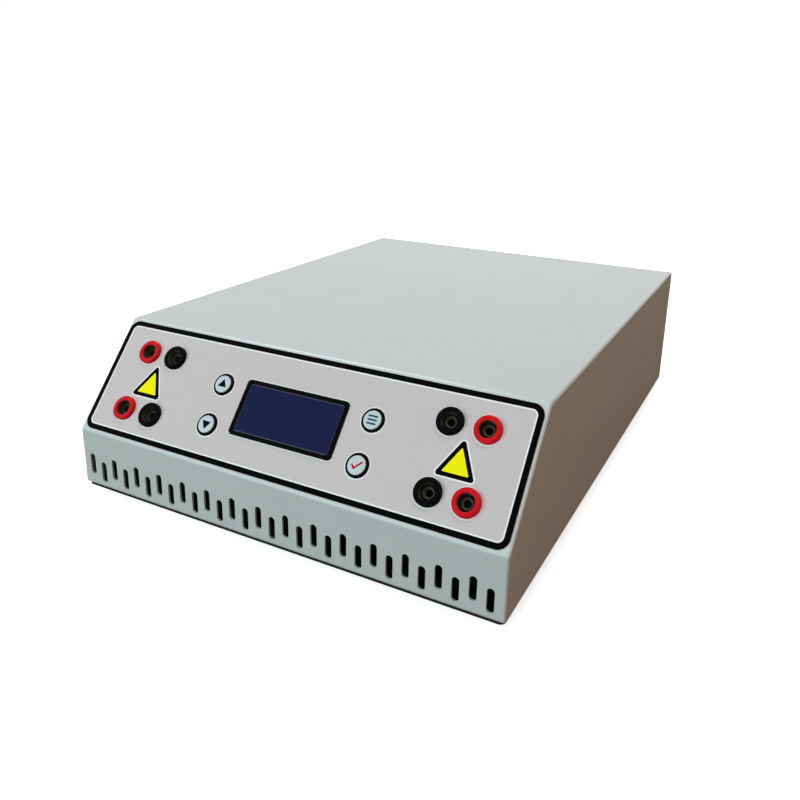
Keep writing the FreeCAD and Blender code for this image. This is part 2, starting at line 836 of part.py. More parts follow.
def fan_frame():
    """Square fan housing with its struts, motor boss and shaft bush."""
    outside = -sheet
    inside = -sheet - fan_depth
    carrier_top = inside + fan_carrier_height
    frame = rounded_plate(fan_size, fan_size, fan_corner, inside, outside)
    half = fan_hole_spacing / 2
    holes = [disc(fan_hole_radius, inside, outside, i * half, j * half) for i in (-1, 1) for j in (-1, 1)]
    frame = frame.cut([disc(fan_bore_radius, inside, outside)] + holes)
    struts = []
    for turn in (45, 135):
        strut = block(fan_size, fan_strut_width, inside, carrier_top)
        strut.rotate(Vector(0, 0, 0), Vector(0, 0, 1), turn)
        struts.append(strut)
    boss_radius = fan_hub_radius - fan_hub_wall - fan_motor_clearance
    boss_top = outside - fan_hub_setback - fan_hub_wall - fan_motor_clearance
    motor = [disc(fan_carrier_radius, inside, carrier_top), disc(boss_radius, inside, boss_top)]
    bush = disc(fan_shaft_radius + fan_shaft_fit, inside + fan_shaft_floor, boss_top)
    return frame.fuse(struts + motor).cut(bush).removeSplitter()


def blade_section(radius, chord, stagger):
    """Cambered outline of a blade at one radius: two shallow arcs joined at the edges."""
    turn = math.radians(stagger)
    along = Vector(0, math.sin(turn), math.cos(turn))
    across = Vector(0, -math.cos(turn), math.sin(turn))
    middle = Vector(radius, 0, -sheet - fan_hub_setback - fan_hub_depth / 2)
    half = fan_blade_thickness / 2
    outline = []
    for side in (1, -1):
        tip = middle + along * (side * chord / 2) + across * (side * half)
        crown = middle + across * (fan_blade_camber + side * half)
        tail = middle - along * (side * chord / 2) + across * (side * half)
        outline.append(Part.Arc(tip, crown, tail).toShape())
        outline.append(Part.LineSegment(tail, tail - across * (side * 2 * half)).toShape())
    return Part.Wire(outline)


def fan_rotor():
    """Hub, shaft and twisted blades, which turn in the fan's bush."""
    face = -sheet - fan_hub_setback
    rim_level = face - fan_hub_depth
    floor = face - fan_hub_wall
    inner = fan_hub_radius - fan_hub_wall
    profile = [(0, face), (0, floor - fan_shaft_length), (fan_shaft_radius, floor - fan_shaft_length),
               (fan_shaft_radius, floor), (inner, floor), (inner, rim_level), (fan_hub_radius, rim_level),
               (fan_hub_radius, face)]
    hub = turned(profile)
    reach = fan_root_chord / 2 * math.sin(math.radians(fan_root_stagger))
    root = math.sqrt(fan_hub_radius ** 2 - reach ** 2) - fan_hub_wall
    tip = fan_bore_radius - fan_tip_clearance
    sections = [blade_section(root, fan_root_chord, fan_root_stagger),
                blade_section(tip, fan_tip_chord, fan_tip_stagger)]
    blade = Part.makeLoft(sections, True, True)
    below = rim_level - fan_carrier_height
    sweep = disc(tip, below, 0).cut(disc(inner + fan_hub_wall / 2, below, 0))
    blade = blade.common(sweep)
    blades = []
    for index in range(fan_blade_count):
        copy = blade.copy()
        copy.rotate(Vector(0, 0, 0), Vector(0, 0, 1), index * 360 / fan_blade_count)
        blades.append(copy)
    return hub.fuse(blades).removeSplitter()


def fan_screw():
    """Long screw through the rear panel and the fan's corner."""
    return pan_screw(fan_screw_radius, fan_screw_head_radius, fan_screw_head_height, fan_screw_length)


def switch_housing():
    """Switch body behind a bezel, with a well for the rocker and holes for its pins."""
    bezel = rounded_plate(switch_bezel_width, switch_bezel_height, switch_bezel_corner,
                          0, switch_bezel_rise)
    bezel = bezel.makeChamfer(bezel_chamfer, rim(bezel, switch_bezel_rise))
    body = block(switch_body_width, switch_body_height, -switch_body_depth, 0)
    well_width = rocker_width + 2 * rocker_side_clearance
    well_height = 2 * (rocker_half_length + rocker_end_clearance)
    well = block(well_width, well_height, -rocker_well_depth, switch_bezel_rise)
    reach = rocker_width / 2 + rocker_pin_length + rocker_side_clearance
    pin_hole = Part.makeCylinder(rocker_pin_radius + rocker_pin_fit, 2 * reach,
                                 Vector(-reach, 0, -rocker_pivot_depth), Vector(1, 0, 0))
    return bezel.fuse(body).cut([well, pin_hole])


def switch_terminals():
    """Three blades at the back of the switch."""
    top = -switch_body_depth
    return [block(switch_tab_width, switch_tab_thickness, top - switch_tab_length, top, y=v)
            for v in row(3, switch_tab_spacing)]


def switch_rocker():
    """Rocker tipped to its off side, with the two pins that it turns on."""
    half = rocker_half_length
    profile = [(-half, rocker_end_rise), (-half, -rocker_shoulder_depth),
               (-rocker_keel_half, -rocker_keel_depth), (rocker_keel_half, -rocker_keel_depth),
               (half, -rocker_shoulder_depth), (half, rocker_end_rise), (0, rocker_crown)]
    radii = [rocker_round, 0, 0, 0, 0, rocker_round, rocker_dish]
    rocker = along_x(profile, radii, rocker_width)
    reach = rocker_width / 2 + rocker_pin_length
    pins = Part.makeCylinder(rocker_pin_radius, 2 * reach,
                             Vector(-reach, 0, -rocker_pivot_depth), Vector(1, 0, 0))
    rocker = rocker.fuse(pins)
    rocker.rotate(Vector(0, 0, -rocker_pivot_depth), Vector(1, 0, 0), rocker_tilt)
    return rocker


def inlet_recess():
    """Cavity of the mains inlet, with its two upper corners cut off."""
    half = inlet_recess_width / 2
    rise = inlet_recess_height / 2
    cut = inlet_recess_chamfer
    outline = [(-half, -rise), (half, -rise), (half, rise - cut), (half - cut, rise),
               (cut - half, rise), (-half, rise - cut)]
    corners = [Vector(x, inlet_recess_middle + y, -inlet_recess_depth) for x, y in outline]
    wire = rounded_wire(corners, [inlet_recess_corner] * len(corners))
    return Part.Face(wire).extrude(Vector(0, 0, inlet_recess_depth + inlet_flange_rise))


def inlet_pin_places():
    """Line, earth and neutral in the inlet, the earth pin raised."""
    low = inlet_recess_middle - inlet_pin_drop
    return [(-inlet_pin_spacing, low), (0, low + inlet_earth_rise), (inlet_pin_spacing, low)]


def inlet_body():
    """Moulded inlet: flange, cavity for the mains connector and a slot for the fuse drawer."""
    flange = rounded_plate(inlet_flange_width, inlet_flange_height, inlet_flange_corner,
                           0, inlet_flange_rise)
    flange = flange.makeChamfer(bezel_chamfer, rim(flange, inlet_flange_rise))
    body = block(inlet_body_width, inlet_body_height, -inlet_body_depth, 0)
    slot = block(drawer_width + 2 * drawer_clearance, drawer_height + 2 * drawer_clearance,
                 -drawer_depth - drawer_clearance, inlet_flange_rise, y=drawer_middle)
    fit = 2 * inlet_pin_fit
    holes = [block(inlet_pin_width + fit, inlet_pin_height + fit, -inlet_body_depth,
                   -inlet_recess_depth, x, y) for x, y in inlet_pin_places()]
    plain = screw_radius + plain_fit
    holes += [disc(plain, 0, inlet_flange_rise, i * inlet_screw_spacing / 2) for i in (-1, 1)]
    return flange.fuse(body).cut([inlet_recess(), slot] + holes)


def inlet_pins():
    """Three contact blades with their tabs behind the inlet."""
    pins = []
    for x, y in inlet_pin_places():
        blade = block(inlet_pin_width, inlet_pin_height, -inlet_body_depth,
                      inlet_pin_length - inlet_recess_depth, x, y)
        tab = block(inlet_tab_thickness, inlet_tab_width, -inlet_body_depth - inlet_tab_length,
                    -inlet_body_depth, x, y)
        pins.append(blade.fuse(tab))
    return pins


def fuse_drawer():
    """Drawer below the inlet's cavity, with a trough for the fuse and a notch to pull it by."""
    bottom = drawer_middle - drawer_height / 2
    drawer = block(drawer_width, drawer_height, -drawer_depth, inlet_flange_rise, y=drawer_middle)
    room = fuse_radius + fuse_fit
    trough = block(fuse_length + 2 * fuse_fit, drawer_height, -fuse_depth - room, -fuse_depth + room,
                   y=drawer_middle + drawer_floor)
    notch = block(drawer_notch_width, 2 * drawer_notch_depth, inlet_flange_rise - drawer_notch_depth,
                  inlet_flange_rise, y=bottom)
    return drawer.cut([trough, notch])


def fuse_link():
    """Glass fuse with its two end caps, lying across the drawer."""
    half = fuse_length / 2
    neck = fuse_radius - fuse_neck
    profile = [(0, -half), (fuse_radius, -half), (fuse_radius, fuse_cap_length - half),
               (neck, fuse_cap_length - half), (neck, half - fuse_cap_length),
               (fuse_radius, half - fuse_cap_length), (fuse_radius, half), (0, half)]
    fuse = turned(profile)
    fuse.rotate(Vector(0, 0, 0), Vector(0, 1, 0), 90)
    height = drawer_middle - drawer_height / 2 + drawer_floor + fuse_radius
    return moved(fuse, y=height, z=-fuse_depth)


# Inside

def board_standoff():
    """Hexagonal standoff between the base plate and the main board."""
    bore = disc(screw_radius + tapped_fit, plate_top, main_board_z)
    return hexagon(standoff_flats, plate_top, main_board_z).cut(bore)


def main_board():
    """Power board on its six standoffs."""
    board = rounded_plate(main_board_width, main_board_depth, main_board_corner,
                          main_board_z, main_board_top, main_board_x, main_board_y)
    hole = screw_radius + plain_fit
    return board.cut([disc(hole, main_board_z, main_board_top, x, y) for x, y in main_board_places()])


def transformer_core():
    """Ferrite core of three legs and two yokes, standing on the main board."""
    core = block(core_width, core_depth, 0, core_height)
    window = (core_width - 2 * core_leg - core_centre_leg) / 2
    offset = core_centre_leg / 2 + window / 2
    windows = [block(window, core_depth, core_yoke, core_height - core_yoke, i * offset) for i in (-1, 1)]
    return core.cut(windows)


def transformer_coil():
    """Winding round the core's middle leg."""
    bottom = core_yoke + coil_clearance
    top = core_height - core_yoke - coil_clearance
    width = core_centre_leg + 2 * coil_clearance
    depth = core_depth + 2 * coil_clearance
    outer = rounded_plate(width + 2 * coil_wall, depth + 2 * coil_wall, coil_corner, bottom, top)
    return outer.cut(block(width, depth, bottom, top))


def heat_sink():
    """Extruded heat sink: an upright base with a row of fins."""
    base = block(sink_base, sink_length, 0, sink_height, x=sink_base / 2)
    pitch = (sink_length - sink_fin_thickness) / (sink_fin_count - 1)
    middle = sink_base + sink_fin_length / 2
    fins = [block(sink_fin_length, sink_fin_thickness, 0, sink_height, middle, y)
            for y in row(sink_fin_count, pitch)]
    return base.fuse(fins).removeSplitter()


def power_transistor():
    """Transistor clamped flat to the heat sink, on three leads."""
    body = block(transistor_thickness, transistor_width, transistor_lift,
                 transistor_lift + transistor_height, x=-transistor_thickness / 2)
    leads = [block(transistor_lead, transistor_lead, 0, transistor_lift,
                   -transistor_thickness / 2, y) for y in row(3, transistor_lead_pitch)]
    return body.fuse(leads)


def filter_capacitor():
    """Upright can, whose sleeve is turned in over its top."""
    shoulder = capacitor_height - capacitor_chamfer
    return turned([(0, 0), (capacitor_radius, 0), (capacitor_radius, shoulder),
                   (capacitor_radius - capacitor_chamfer, capacitor_height), (0, capacitor_height)])


def bridge_rectifier():
    """Upright rectifier with one corner cut off."""
    half = rectifier_width / 2
    outline = [(-half, 0), (half, 0), (half, rectifier_height),
               (rectifier_chamfer - half, rectifier_height), (-half, rectifier_height - rectifier_chamfer)]
    corners = [Vector(x, -rectifier_thickness / 2, z) for x, z in outline]
    face = Part.Face(Part.makePolygon(corners + corners[:1]))
    return face.extrude(Vector(0, rectifier_thickness, 0))


def choke_coil():
    """Ring core with its winding, lying on the main board."""
    return turned([(choke_bore, 0), (choke_radius, 0), (choke_radius, choke_height - choke_chamfer),
                   (choke_radius - choke_chamfer, choke_height), (choke_bore, choke_height)])


def terminal_block():
    """Terminal for one pair of output leads, entered from the front."""
    front = -terminal_width / 2
    holes = [Part.makeCylinder(terminal_hole_radius, terminal_hole_depth,
                               Vector(x, front, terminal_height / 2), Vector(0, 1, 0))
             for x in row(2, terminal_hole_spacing)]
    return block(terminal_length, terminal_width, 0, terminal_height).cut(holes)


def on_board(shape, x, y):
    """A component set on the main board, at a place from the board's middle."""
    return moved(shape, main_board_x + x, main_board_y + y, main_board_top)


def build():
    """Write every sub-part to its own file."""
    os.makedirs("parts", exist_ok=True)

    export("cover_shell", cover_shell())
    export("base_plate", base_plate(), under_base)
    export("rear_panel", rear_panel(), on_rear)
    base_screws = [placed(moved(machine_screw(), x, y), under_base) for x, y in base_screw_places()]
    rear_screws = [placed(moved(machine_screw(), x, y), on_rear) for x, y in rear_screw_places()]
    export("case_screws", base_screws + rear_screws)
    for name, places in foot_places().items():
        export(name + "_feet", [moved(foot(), x, y) for x, y in places], under_base)
    screws = [moved(foot_screw(), x, y) for places in foot_places().values() for x, y in places]
    export("foot_screws", screws, under_base)

    export("overlay_panel", overlay_panel(), on_slope)
    export("display_bezel", display_bezel(), on_slope)
    export("display_window", display_window(), on_slope)
    export("lcd_frame", lcd_frame(), on_slope)
    export("lcd_glass", lcd_glass(), on_slope)
    export("lcd_backlight", lcd_backlight(), on_slope)
    export("control_board", control_board(), on_slope)
    export("board_spacers", [moved(board_spacer(), x, v) for x, v in spacer_places()], on_slope)
    for red, colour in ((True, "red"), (False, "black")):
        for level, places in socket_places(red).items():
            sockets = [moved(socket_body(), x, v) for x, v in places]
            export(level + "_" + colour + "_sockets", sockets, on_slope)
    export("contact_sleeves", [moved(contact_sleeve(), x, v) for x, v in all_socket_places()], on_slope)
    export("socket_contacts", [moved(socket_contact(), x, v) for x, v in all_socket_places()], on_slope)
    export("socket_nuts", [moved(socket_nut(), x, v) for x, v in all_socket_places()], on_slope)
    keys = key_places()
    for name, (x, v) in keys.items():
        export("key_" + name, moved(key_cap(), x, v), on_slope)
    export("upper_key_rings", [moved(key_ring(), *keys[name]) for name in ("up", "set")], on_slope)
    export("lower_key_rings", [moved(key_ring(), *keys[name]) for name in ("down", "ok")], on_slope)
    export("tact_switches", [moved(tact_switch(), x, v) for x, v in keys.values()], on_slope)

    export("fan_frame", moved(fan_frame(), x=-fan_x), on_rear)
    export("fan_rotor", moved(fan_rotor(), x=-fan_x), on_rear)
    export("fan_screws", [moved(fan_screw(), x, y) for x, y in fan_screw_places()], on_rear)
    export("switch_housing", moved(switch_housing(), x=-power_switch_x), on_rear)
    export("switch_terminals", [moved(tab, x=-power_switch_x) for tab in switch_terminals()], on_rear)
    export("switch_rocker", moved(switch_rocker(), x=-power_switch_x), on_rear)
    export("inlet_body", moved(inlet_body(), x=-inlet_x), on_rear)
    export("inlet_pins", [moved(pin, x=-inlet_x) for pin in inlet_pins()], on_rear)
    inlet_screws = [moved(machine_screw(), x, y, inlet_flange_rise) for x, y in inlet_screw_places()]
    export("inlet_screws", inlet_screws, on_rear)
    export("fuse_drawer", moved(fuse_drawer(), x=-inlet_x), on_rear)
    export("fuse_link", moved(fuse_link(), x=-inlet_x), on_rear)

    export("board_standoffs", [moved(board_standoff(), x, y) for x, y in main_board_places()])
    export("main_board", main_board())
    screws = [moved(machine_screw(), x, y, main_board_top) for x, y in main_board_places()]
    screws += [placed(moved(control_board_screw(), x, v), on_slope) for x, v in spacer_places()]
    export("board_screws", screws)
    export("transformer_core", on_board(transformer_core(), transformer_x, transformer_y))
    export("transformer_coil", on_board(transformer_coil(), transformer_x, transformer_y))
    export("heat_sink", on_board(heat_sink(), sink_x, sink_y))
    transistors = [on_board(power_transistor(), sink_x, sink_y + y)
                   for y in row(transistor_count, transistor_pitch)]
    export("power_transistors", transistors)
    capacitors = [on_board(filter_capacitor(), capacitor_x + x, capacitor_y)
                  for x in row(capacitor_count, capacitor_pitch)]
    export("filter_capacitors", capacitors)
    relay = block(relay_length, relay_width, 0, relay_height)
    export("relays", [on_board(relay, relay_x + x, relay_y) for x in row(relay_count, relay_pitch)])
    export("bridge_rectifier", on_board(bridge_rectifier(), rectifier_x, rectifier_y))
    export("choke_coil", on_board(choke_coil(), choke_x, choke_y))
    terminals = [on_board(terminal_block(), x, terminal_y)
                 for x in row(terminal_count, terminal_pitch)]
    export("terminal_blocks", terminals)


build()
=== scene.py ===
import json
import math

import bmesh
import bpy
import numpy as np
from mathutils import Matrix, Vector


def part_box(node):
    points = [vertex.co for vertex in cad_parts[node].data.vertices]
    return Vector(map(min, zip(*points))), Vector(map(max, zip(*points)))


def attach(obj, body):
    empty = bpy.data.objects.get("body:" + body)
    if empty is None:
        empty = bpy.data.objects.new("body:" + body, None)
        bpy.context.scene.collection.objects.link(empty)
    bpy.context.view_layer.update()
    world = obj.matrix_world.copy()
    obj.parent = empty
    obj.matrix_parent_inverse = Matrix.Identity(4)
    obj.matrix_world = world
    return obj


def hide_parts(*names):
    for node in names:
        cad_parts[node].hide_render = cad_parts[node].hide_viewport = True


# Electrophoresis power supply on a pale floor. Sizes are in millimetres unless a name says otherwise;
# place() and surface() turn them into metres.

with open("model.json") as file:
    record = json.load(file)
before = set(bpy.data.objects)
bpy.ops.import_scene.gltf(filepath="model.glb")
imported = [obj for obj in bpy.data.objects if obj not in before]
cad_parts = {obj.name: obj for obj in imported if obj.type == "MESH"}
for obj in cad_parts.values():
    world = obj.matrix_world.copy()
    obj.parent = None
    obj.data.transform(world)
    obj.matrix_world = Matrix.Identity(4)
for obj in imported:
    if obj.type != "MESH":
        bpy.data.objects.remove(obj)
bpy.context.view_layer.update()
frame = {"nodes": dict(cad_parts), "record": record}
nodes = frame["nodes"]

MM = 0.001

# Sizes that the CAD model has too
SLOPE_ANGLE = 50.0          # degrees
FILM = 0.4
FILM_WIDTH = 254.6
FILM_HEIGHT = 67.3
SOCKET_FLANGE_RADIUS = 6.9
SOCKET_BARREL_RADIUS = 5.9
SOCKET_MOUTH_RADIUS = 4.2
SOCKET_FACE = 2.6
SOCKET_DEPTH = 22.0
SOCKET_FLOOR = -13.4
SLEEVE_RADIUS = 3.1
SLEEVE_MOUTH_RADIUS = 2.3
SLEEVE_FACE = -0.25
SLEEVE_SEAT = -0.95          # where the sleeve's lip hangs over the contact's rim
CONTACT_HOLD_RADIUS = 2.55
FIT = 0.05
KEY_RADIUS = 4.8
KEY_FACE = 1.8
KEY_RING_RADIUS = 6.2
KEY_COLLAR_RADIUS = 5.5
KEY_COLLAR_TOP = -2.8
KEY_COLLAR_BOTTOM = -3.8
KEY_STEM_RADIUS = 1.7
KEY_STEM_BOTTOM = -6.2
BEZEL_WIDTH = 62.9
BEZEL_HEIGHT = 30.75
BEZEL_CORNER = 2.4
WINDOW_WIDTH = 58.5
WINDOW_HEIGHT = 26.35
WINDOW_FACE = 1.0
WINDOW_CORNER = 1.2
SCREW_RADIUS = 1.5
SCREW_HEAD_RADIUS = 2.8
SCREW_HEAD_HEIGHT = 1.8
SCREW_LENGTH = 7.0
FAN_SCREW_RADIUS = 2.0
FAN_SCREW_HEAD_RADIUS = 3.6
FAN_SCREW_HEAD_HEIGHT = 2.2
FAN_SCREW_LENGTH = 24.0
FAN_HOLE_SPACING = 50.0
INLET_SCREW_SPACING = 40.0
INLET_FLANGE_RISE = 2.6
BASE_LIP = 14.0
LIP_DEPTH = 3.0             # the cover's lip lies within this height above the base plate
REAR_LIP = 8.0
BASE_SCREW_SPAN = 250.0
REAR_SCREW_SPAN = 60.0
ROCKER_CROWN = 1.6
ROCKER_TILT = 9.0            # degrees, each half of the face and the tipped rocker
ROCKER_PIVOT_DEPTH = 3.5

# Printing on the panel
INK = 0.02                  # a print stands this far above what carries it
BORDER_WIDTH = 2.9
BORDER_CORNER = 6.0
TRIANGLE_OFFSET = 94.5      # middle of a triangle from the middle of the panel
TRIANGLE_TOP = 10.4
TRIANGLE_BASE = -9.0
TRIANGLE_HALF = 10.3
TRIANGLE_EDGE = 2.1
TRIANGLE_CORNER = 1.3
KEYLINE_WIDTH = 0.75         # pale line that sets off each black outline


# Small tools

def linear(hex_colour):
    """The linear colour, with alpha 1, of an sRGB hex value."""
    srgb = np.array([int(hex_colour[i:i + 2], 16) for i in (1, 3, 5)]) / 255
    low = srgb / 12.92
    high = ((srgb + 0.055) / 1.055) ** 2.4
    return (*np.where(srgb <= 0.04045, low, high), 1.0)


def per_size(size):
    """The scale of a noise or cell pattern whose features measure this many millimetres."""
    return 1 / (size * MM)


def add(tree, kind, inputs=None, **settings):
    """Adds a node, sets its properties, and fills its sockets with values or links."""
    node = tree.nodes.new(kind)
    for key, value in settings.items():
        setattr(node, key, value)
    for key, value in (inputs or {}).items():
        if isinstance(value, bpy.types.NodeSocket):
            tree.links.new(value, node.inputs[key])
        else:
            node.inputs[key].default_value = value
    return node


def material(name, colour, roughness, shade=None, grain=1.0, contrast=0.0, bump=0.0, **shader):
    """A surface whose colour wanders between two shades and whose finish has a fine relief. grain is the size
    of the fine pattern in millimetres; a mottle twelve times as broad shifts the colour as well. contrast is
    the share of the second shade and bump the depth of the relief in millimetres. The roughness rises and
    falls with the fine pattern."""
    made = bpy.data.materials.new(name)
    made.use_nodes = True
    tree = made.node_tree
    tree.nodes.clear()
    spot = add(tree, "ShaderNodeTexCoord").outputs["Object"]
    fine = add(tree, "ShaderNodeTexNoise", {"Vector": spot, "Scale": per_size(grain), "Detail": 3.0}).outputs["Fac"]
    broad = add(tree, "ShaderNodeTexNoise", {"Vector": spot, "Scale": per_size(12 * grain)}).outputs["Fac"]
    both = add(tree, "ShaderNodeMath", {0: fine, 1: broad}, operation="ADD").outputs[0]
    share = add(tree, "ShaderNodeMapRange", {"Value": both, "From Min": 0.7, "From Max": 1.3, "To Min": 0.0,
                                             "To Max": contrast}).outputs["Result"]
    tint = add(tree, "ShaderNodeMix", {"Factor": share}, data_type="RGBA")
    tint.inputs["A"].default_value = linear(colour)
    tint.inputs["B"].default_value = linear(shade or colour)
    finish = add(tree, "ShaderNodeMapRange", {"Value": fine, "From Min": 0.3, "From Max": 0.7,
                                              "To Min": roughness - 0.04, "To Max": roughness + 0.04})
    relief = add(tree, "ShaderNodeBump", {"Height": fine, "Strength": 1.0, "Distance": bump * MM})
    surface_shader = add(tree, "ShaderNodeBsdfPrincipled", {
        "Base Color": tint.outputs["Result"], "Roughness": finish.outputs["Result"],
        "Normal": relief.outputs["Normal"]})
    for key, value in shader.items():
        surface_shader.inputs[key.replace("_", " ")].default_value = value
    output = add(tree, "ShaderNodeOutputMaterial")
    tree.links.new(surface_shader.outputs["BSDF"], output.inputs["Surface"])
    return made


def paint_shade_inside(coat, lip_shade, height):
    """Paints shade on a folded lip's upper side: the colour changes to a dark one where a surface faces up and
    lies below a height in metres."""
    tree = coat.node_tree
    shader = next(node for node in tree.nodes if node.type == "BSDF_PRINCIPLED")
    paint = shader.inputs["Base Color"].links[0].from_socket
    spot = add(tree, "ShaderNodeTexCoord").outputs["Object"]
    normal = add(tree, "ShaderNodeNewGeometry").outputs["Normal"]
    place = add(tree, "ShaderNodeSeparateXYZ", {0: spot}).outputs["Z"]
    facing = add(tree, "ShaderNodeSeparateXYZ", {0: normal}).outputs["Z"]
    low = add(tree, "ShaderNodeMath", {0: place, 1: height}, operation="LESS_THAN").outputs[0]
    up = add(tree, "ShaderNodeMath", {0: facing, 1: 0.5}, operation="GREATER_THAN").outputs[0]
    hidden = add(tree, "ShaderNodeMath", {0: low, 1: up}, operation="MULTIPLY").outputs[0]
    swap = add(tree, "ShaderNodeMix", {"Factor": hidden, "A": paint}, data_type="RGBA")
    swap.inputs["B"].default_value = linear(lip_shade)
    tree.links.new(swap.outputs["Result"], shader.inputs["Base Color"])


# Finishes

# Powder coat on steel: satin, with the shallow orange peel of a baked coat
case_coat = material("powder_coated_steel", "#C8CDCB", 0.4, "#C1C6C4", grain=1.6, contrast=0.5, bump=0.012,
                     Coat_Weight=0.45, Coat_Roughness=0.17)
# Black-passivated zinc on the base plate: dark metal with a satin sheen
black_zinc = material("black_passivated_zinc", "#1E2321", 0.55, "#2A302D", grain=1.5, contrast=0.8, bump=0.01,
                      Metallic=0.3, Specular_IOR_Level=0.2)
# Zinc-plated sheet: grey metal with a faint mottle
zinc_sheet = material("zinc_plated_sheet", "#8D8F8F", 0.4, "#7C7E80", grain=3.0, contrast=0.6, bump=0.004,
                      Metallic=0.9)
# Zinc-plated screws: brighter, smoother metal
screw_metal = material("zinc_plated_screw", "#B9B9B6", 0.3, "#A3A4A4", grain=0.8, contrast=0.4, Metallic=1.0)
# Polycarbonate film printed from behind: flat light grey under a fine matt texture
panel_film = material("printed_polycarbonate_film", "#D0C6C5", 0.5, "#CCC2C1", grain=0.7, contrast=0.4, bump=0.003,
                      Specular_IOR_Level=0.15)
# Screen-printed ink: dense colours, duller than the film
ink_gloss = {"Specular_IOR_Level": 0.03}
black_ink = material("black_screen_ink", "#010101", 0.5, "#040404", grain=0.5, contrast=0.4, **ink_gloss)
yellow_ink = material("yellow_screen_ink", "#FFF712", 0.5, "#FAF010", grain=0.5, contrast=0.4, **ink_gloss)
teal_ink = material("teal_screen_ink", "#1D4F59", 0.5, "#1A4850", grain=0.5, contrast=0.4, **ink_gloss)
red_ink = material("red_screen_ink", "#C81235", 0.5, "#BC1030", grain=0.5, contrast=0.4, **ink_gloss)
white_ink = material("white_screen_ink", "#F4F4F2", 0.5, "#EEEEEC", grain=0.5, contrast=0.4, **ink_gloss)
# Moulded polyamide: glossy red and black, with the soft ripple of a mould's polish
red_plastic = material("moulded_red_polyamide", "#CE0E19", 0.34, "#C40B14", grain=2.0, contrast=0.5, bump=0.006,
                       Specular_IOR_Level=0.15)
black_plastic = material("moulded_black_polyamide", "#020203", 0.38, "#050506", grain=2.0, contrast=0.5, bump=0.006,
                         Specular_IOR_Level=0.04)
# The sockets' inside: painted shade of the deep recess, one dark olive-brown for red and black sockets alike, in
# place of the plastic's own colour
bore_painted_shade = material("polyamide_bore_painted_shade", "#565240", 0.6, "#464336", grain=1.0, contrast=0.6, bump=0.01,
                     Specular_IOR_Level=0.2)
# The sleeves round the contacts, darker still: painted shade, so that the socket's mouth reads as one dark disc
sleeve_painted_shade = material("polyamide_sleeve_painted_shade", "#37342A", 0.6, "#2E2B23", grain=1.0, contrast=0.6, bump=0.01,
                          Specular_IOR_Level=0.2)
# The contacts deep in them: brass darkened as painted shade of the deep recess
contact_painted_shade = material("brass_contact_painted_shade", "#6E6650", 0.5, "#57513F", grain=0.6, contrast=0.5, Metallic=0.8)
# Moulded housings with a fine spark-eroded grain
matt_plastic = material("spark_eroded_black_plastic", "#1B1B1C", 0.55, "#242425", grain=0.5, contrast=0.5, bump=0.01)
# ABS keys: pale blue-grey, silky
key_plastic = material("pale_abs_keys", "#C6D0D3", 0.33, "#BDC8CC", grain=1.2, contrast=0.5, bump=0.004)
# Natural-black rubber: matt, fine grain
foot_rubber = material("black_nitrile_rubber", "#1A1A1A", 0.8, "#232322", grain=0.4, contrast=0.6, bump=0.02)
# Acrylic pane over an unlit display: deep navy under a clear gloss
display_pane = material("acrylic_pane_over_unlit_display", "#1A1E45", 0.12, "#1E234C", grain=0.35, contrast=0.6,
                        Specular_IOR_Level=0.04)
# Painted highlight of the pane's polished edge: a pale grey line on the pane's face
pane_edge_highlight = material("painted_pane_edge_highlight", "#3C3C46", 0.3, "#46464F", grain=0.5, contrast=0.4)
# Nickel-plated brass: warm bright metal
plated_brass = material("nickel_plated_brass", "#C9C3B4", 0.22, "#B9B2A2", grain=0.6, contrast=0.4, Metallic=1.0)
# Glass-fibre board under green solder resist
green_board = material("green_solder_resist", "#1D5A34", 0.3, "#22653B", grain=4.0, contrast=0.6, bump=0.01)
ferrite_core = material("sintered_ferrite", "#2B2B2D", 0.6, "#353538", grain=0.7, contrast=0.5, bump=0.01)
copper_wire = material("enamelled_copper_winding", "#9A4A22", 0.3, "#7E3A19", grain=0.8, contrast=0.7, bump=0.1,
                       Metallic=0.8)
bare_aluminium = material("extruded_aluminium", "#B4B6B8", 0.38, "#A6A8AA", grain=1.5, contrast=0.5, Metallic=1.0)
relay_case = material("blue_relay_case", "#2A55A0", 0.35, "#254C92", grain=1.0, contrast=0.4)
terminal_case = material("green_terminal_plastic", "#2E8A4A", 0.4, "#277C41", grain=1.0, contrast=0.4)
fuse_glass = material("soda_lime_glass_tube", "#C9CFCC", 0.1, "#BCC3C0", grain=2.0, contrast=0.3)
light_guide = material("white_acrylic_light_guide", "#D8DADC", 0.3, "#CDD0D2", grain=1.0, contrast=0.3)

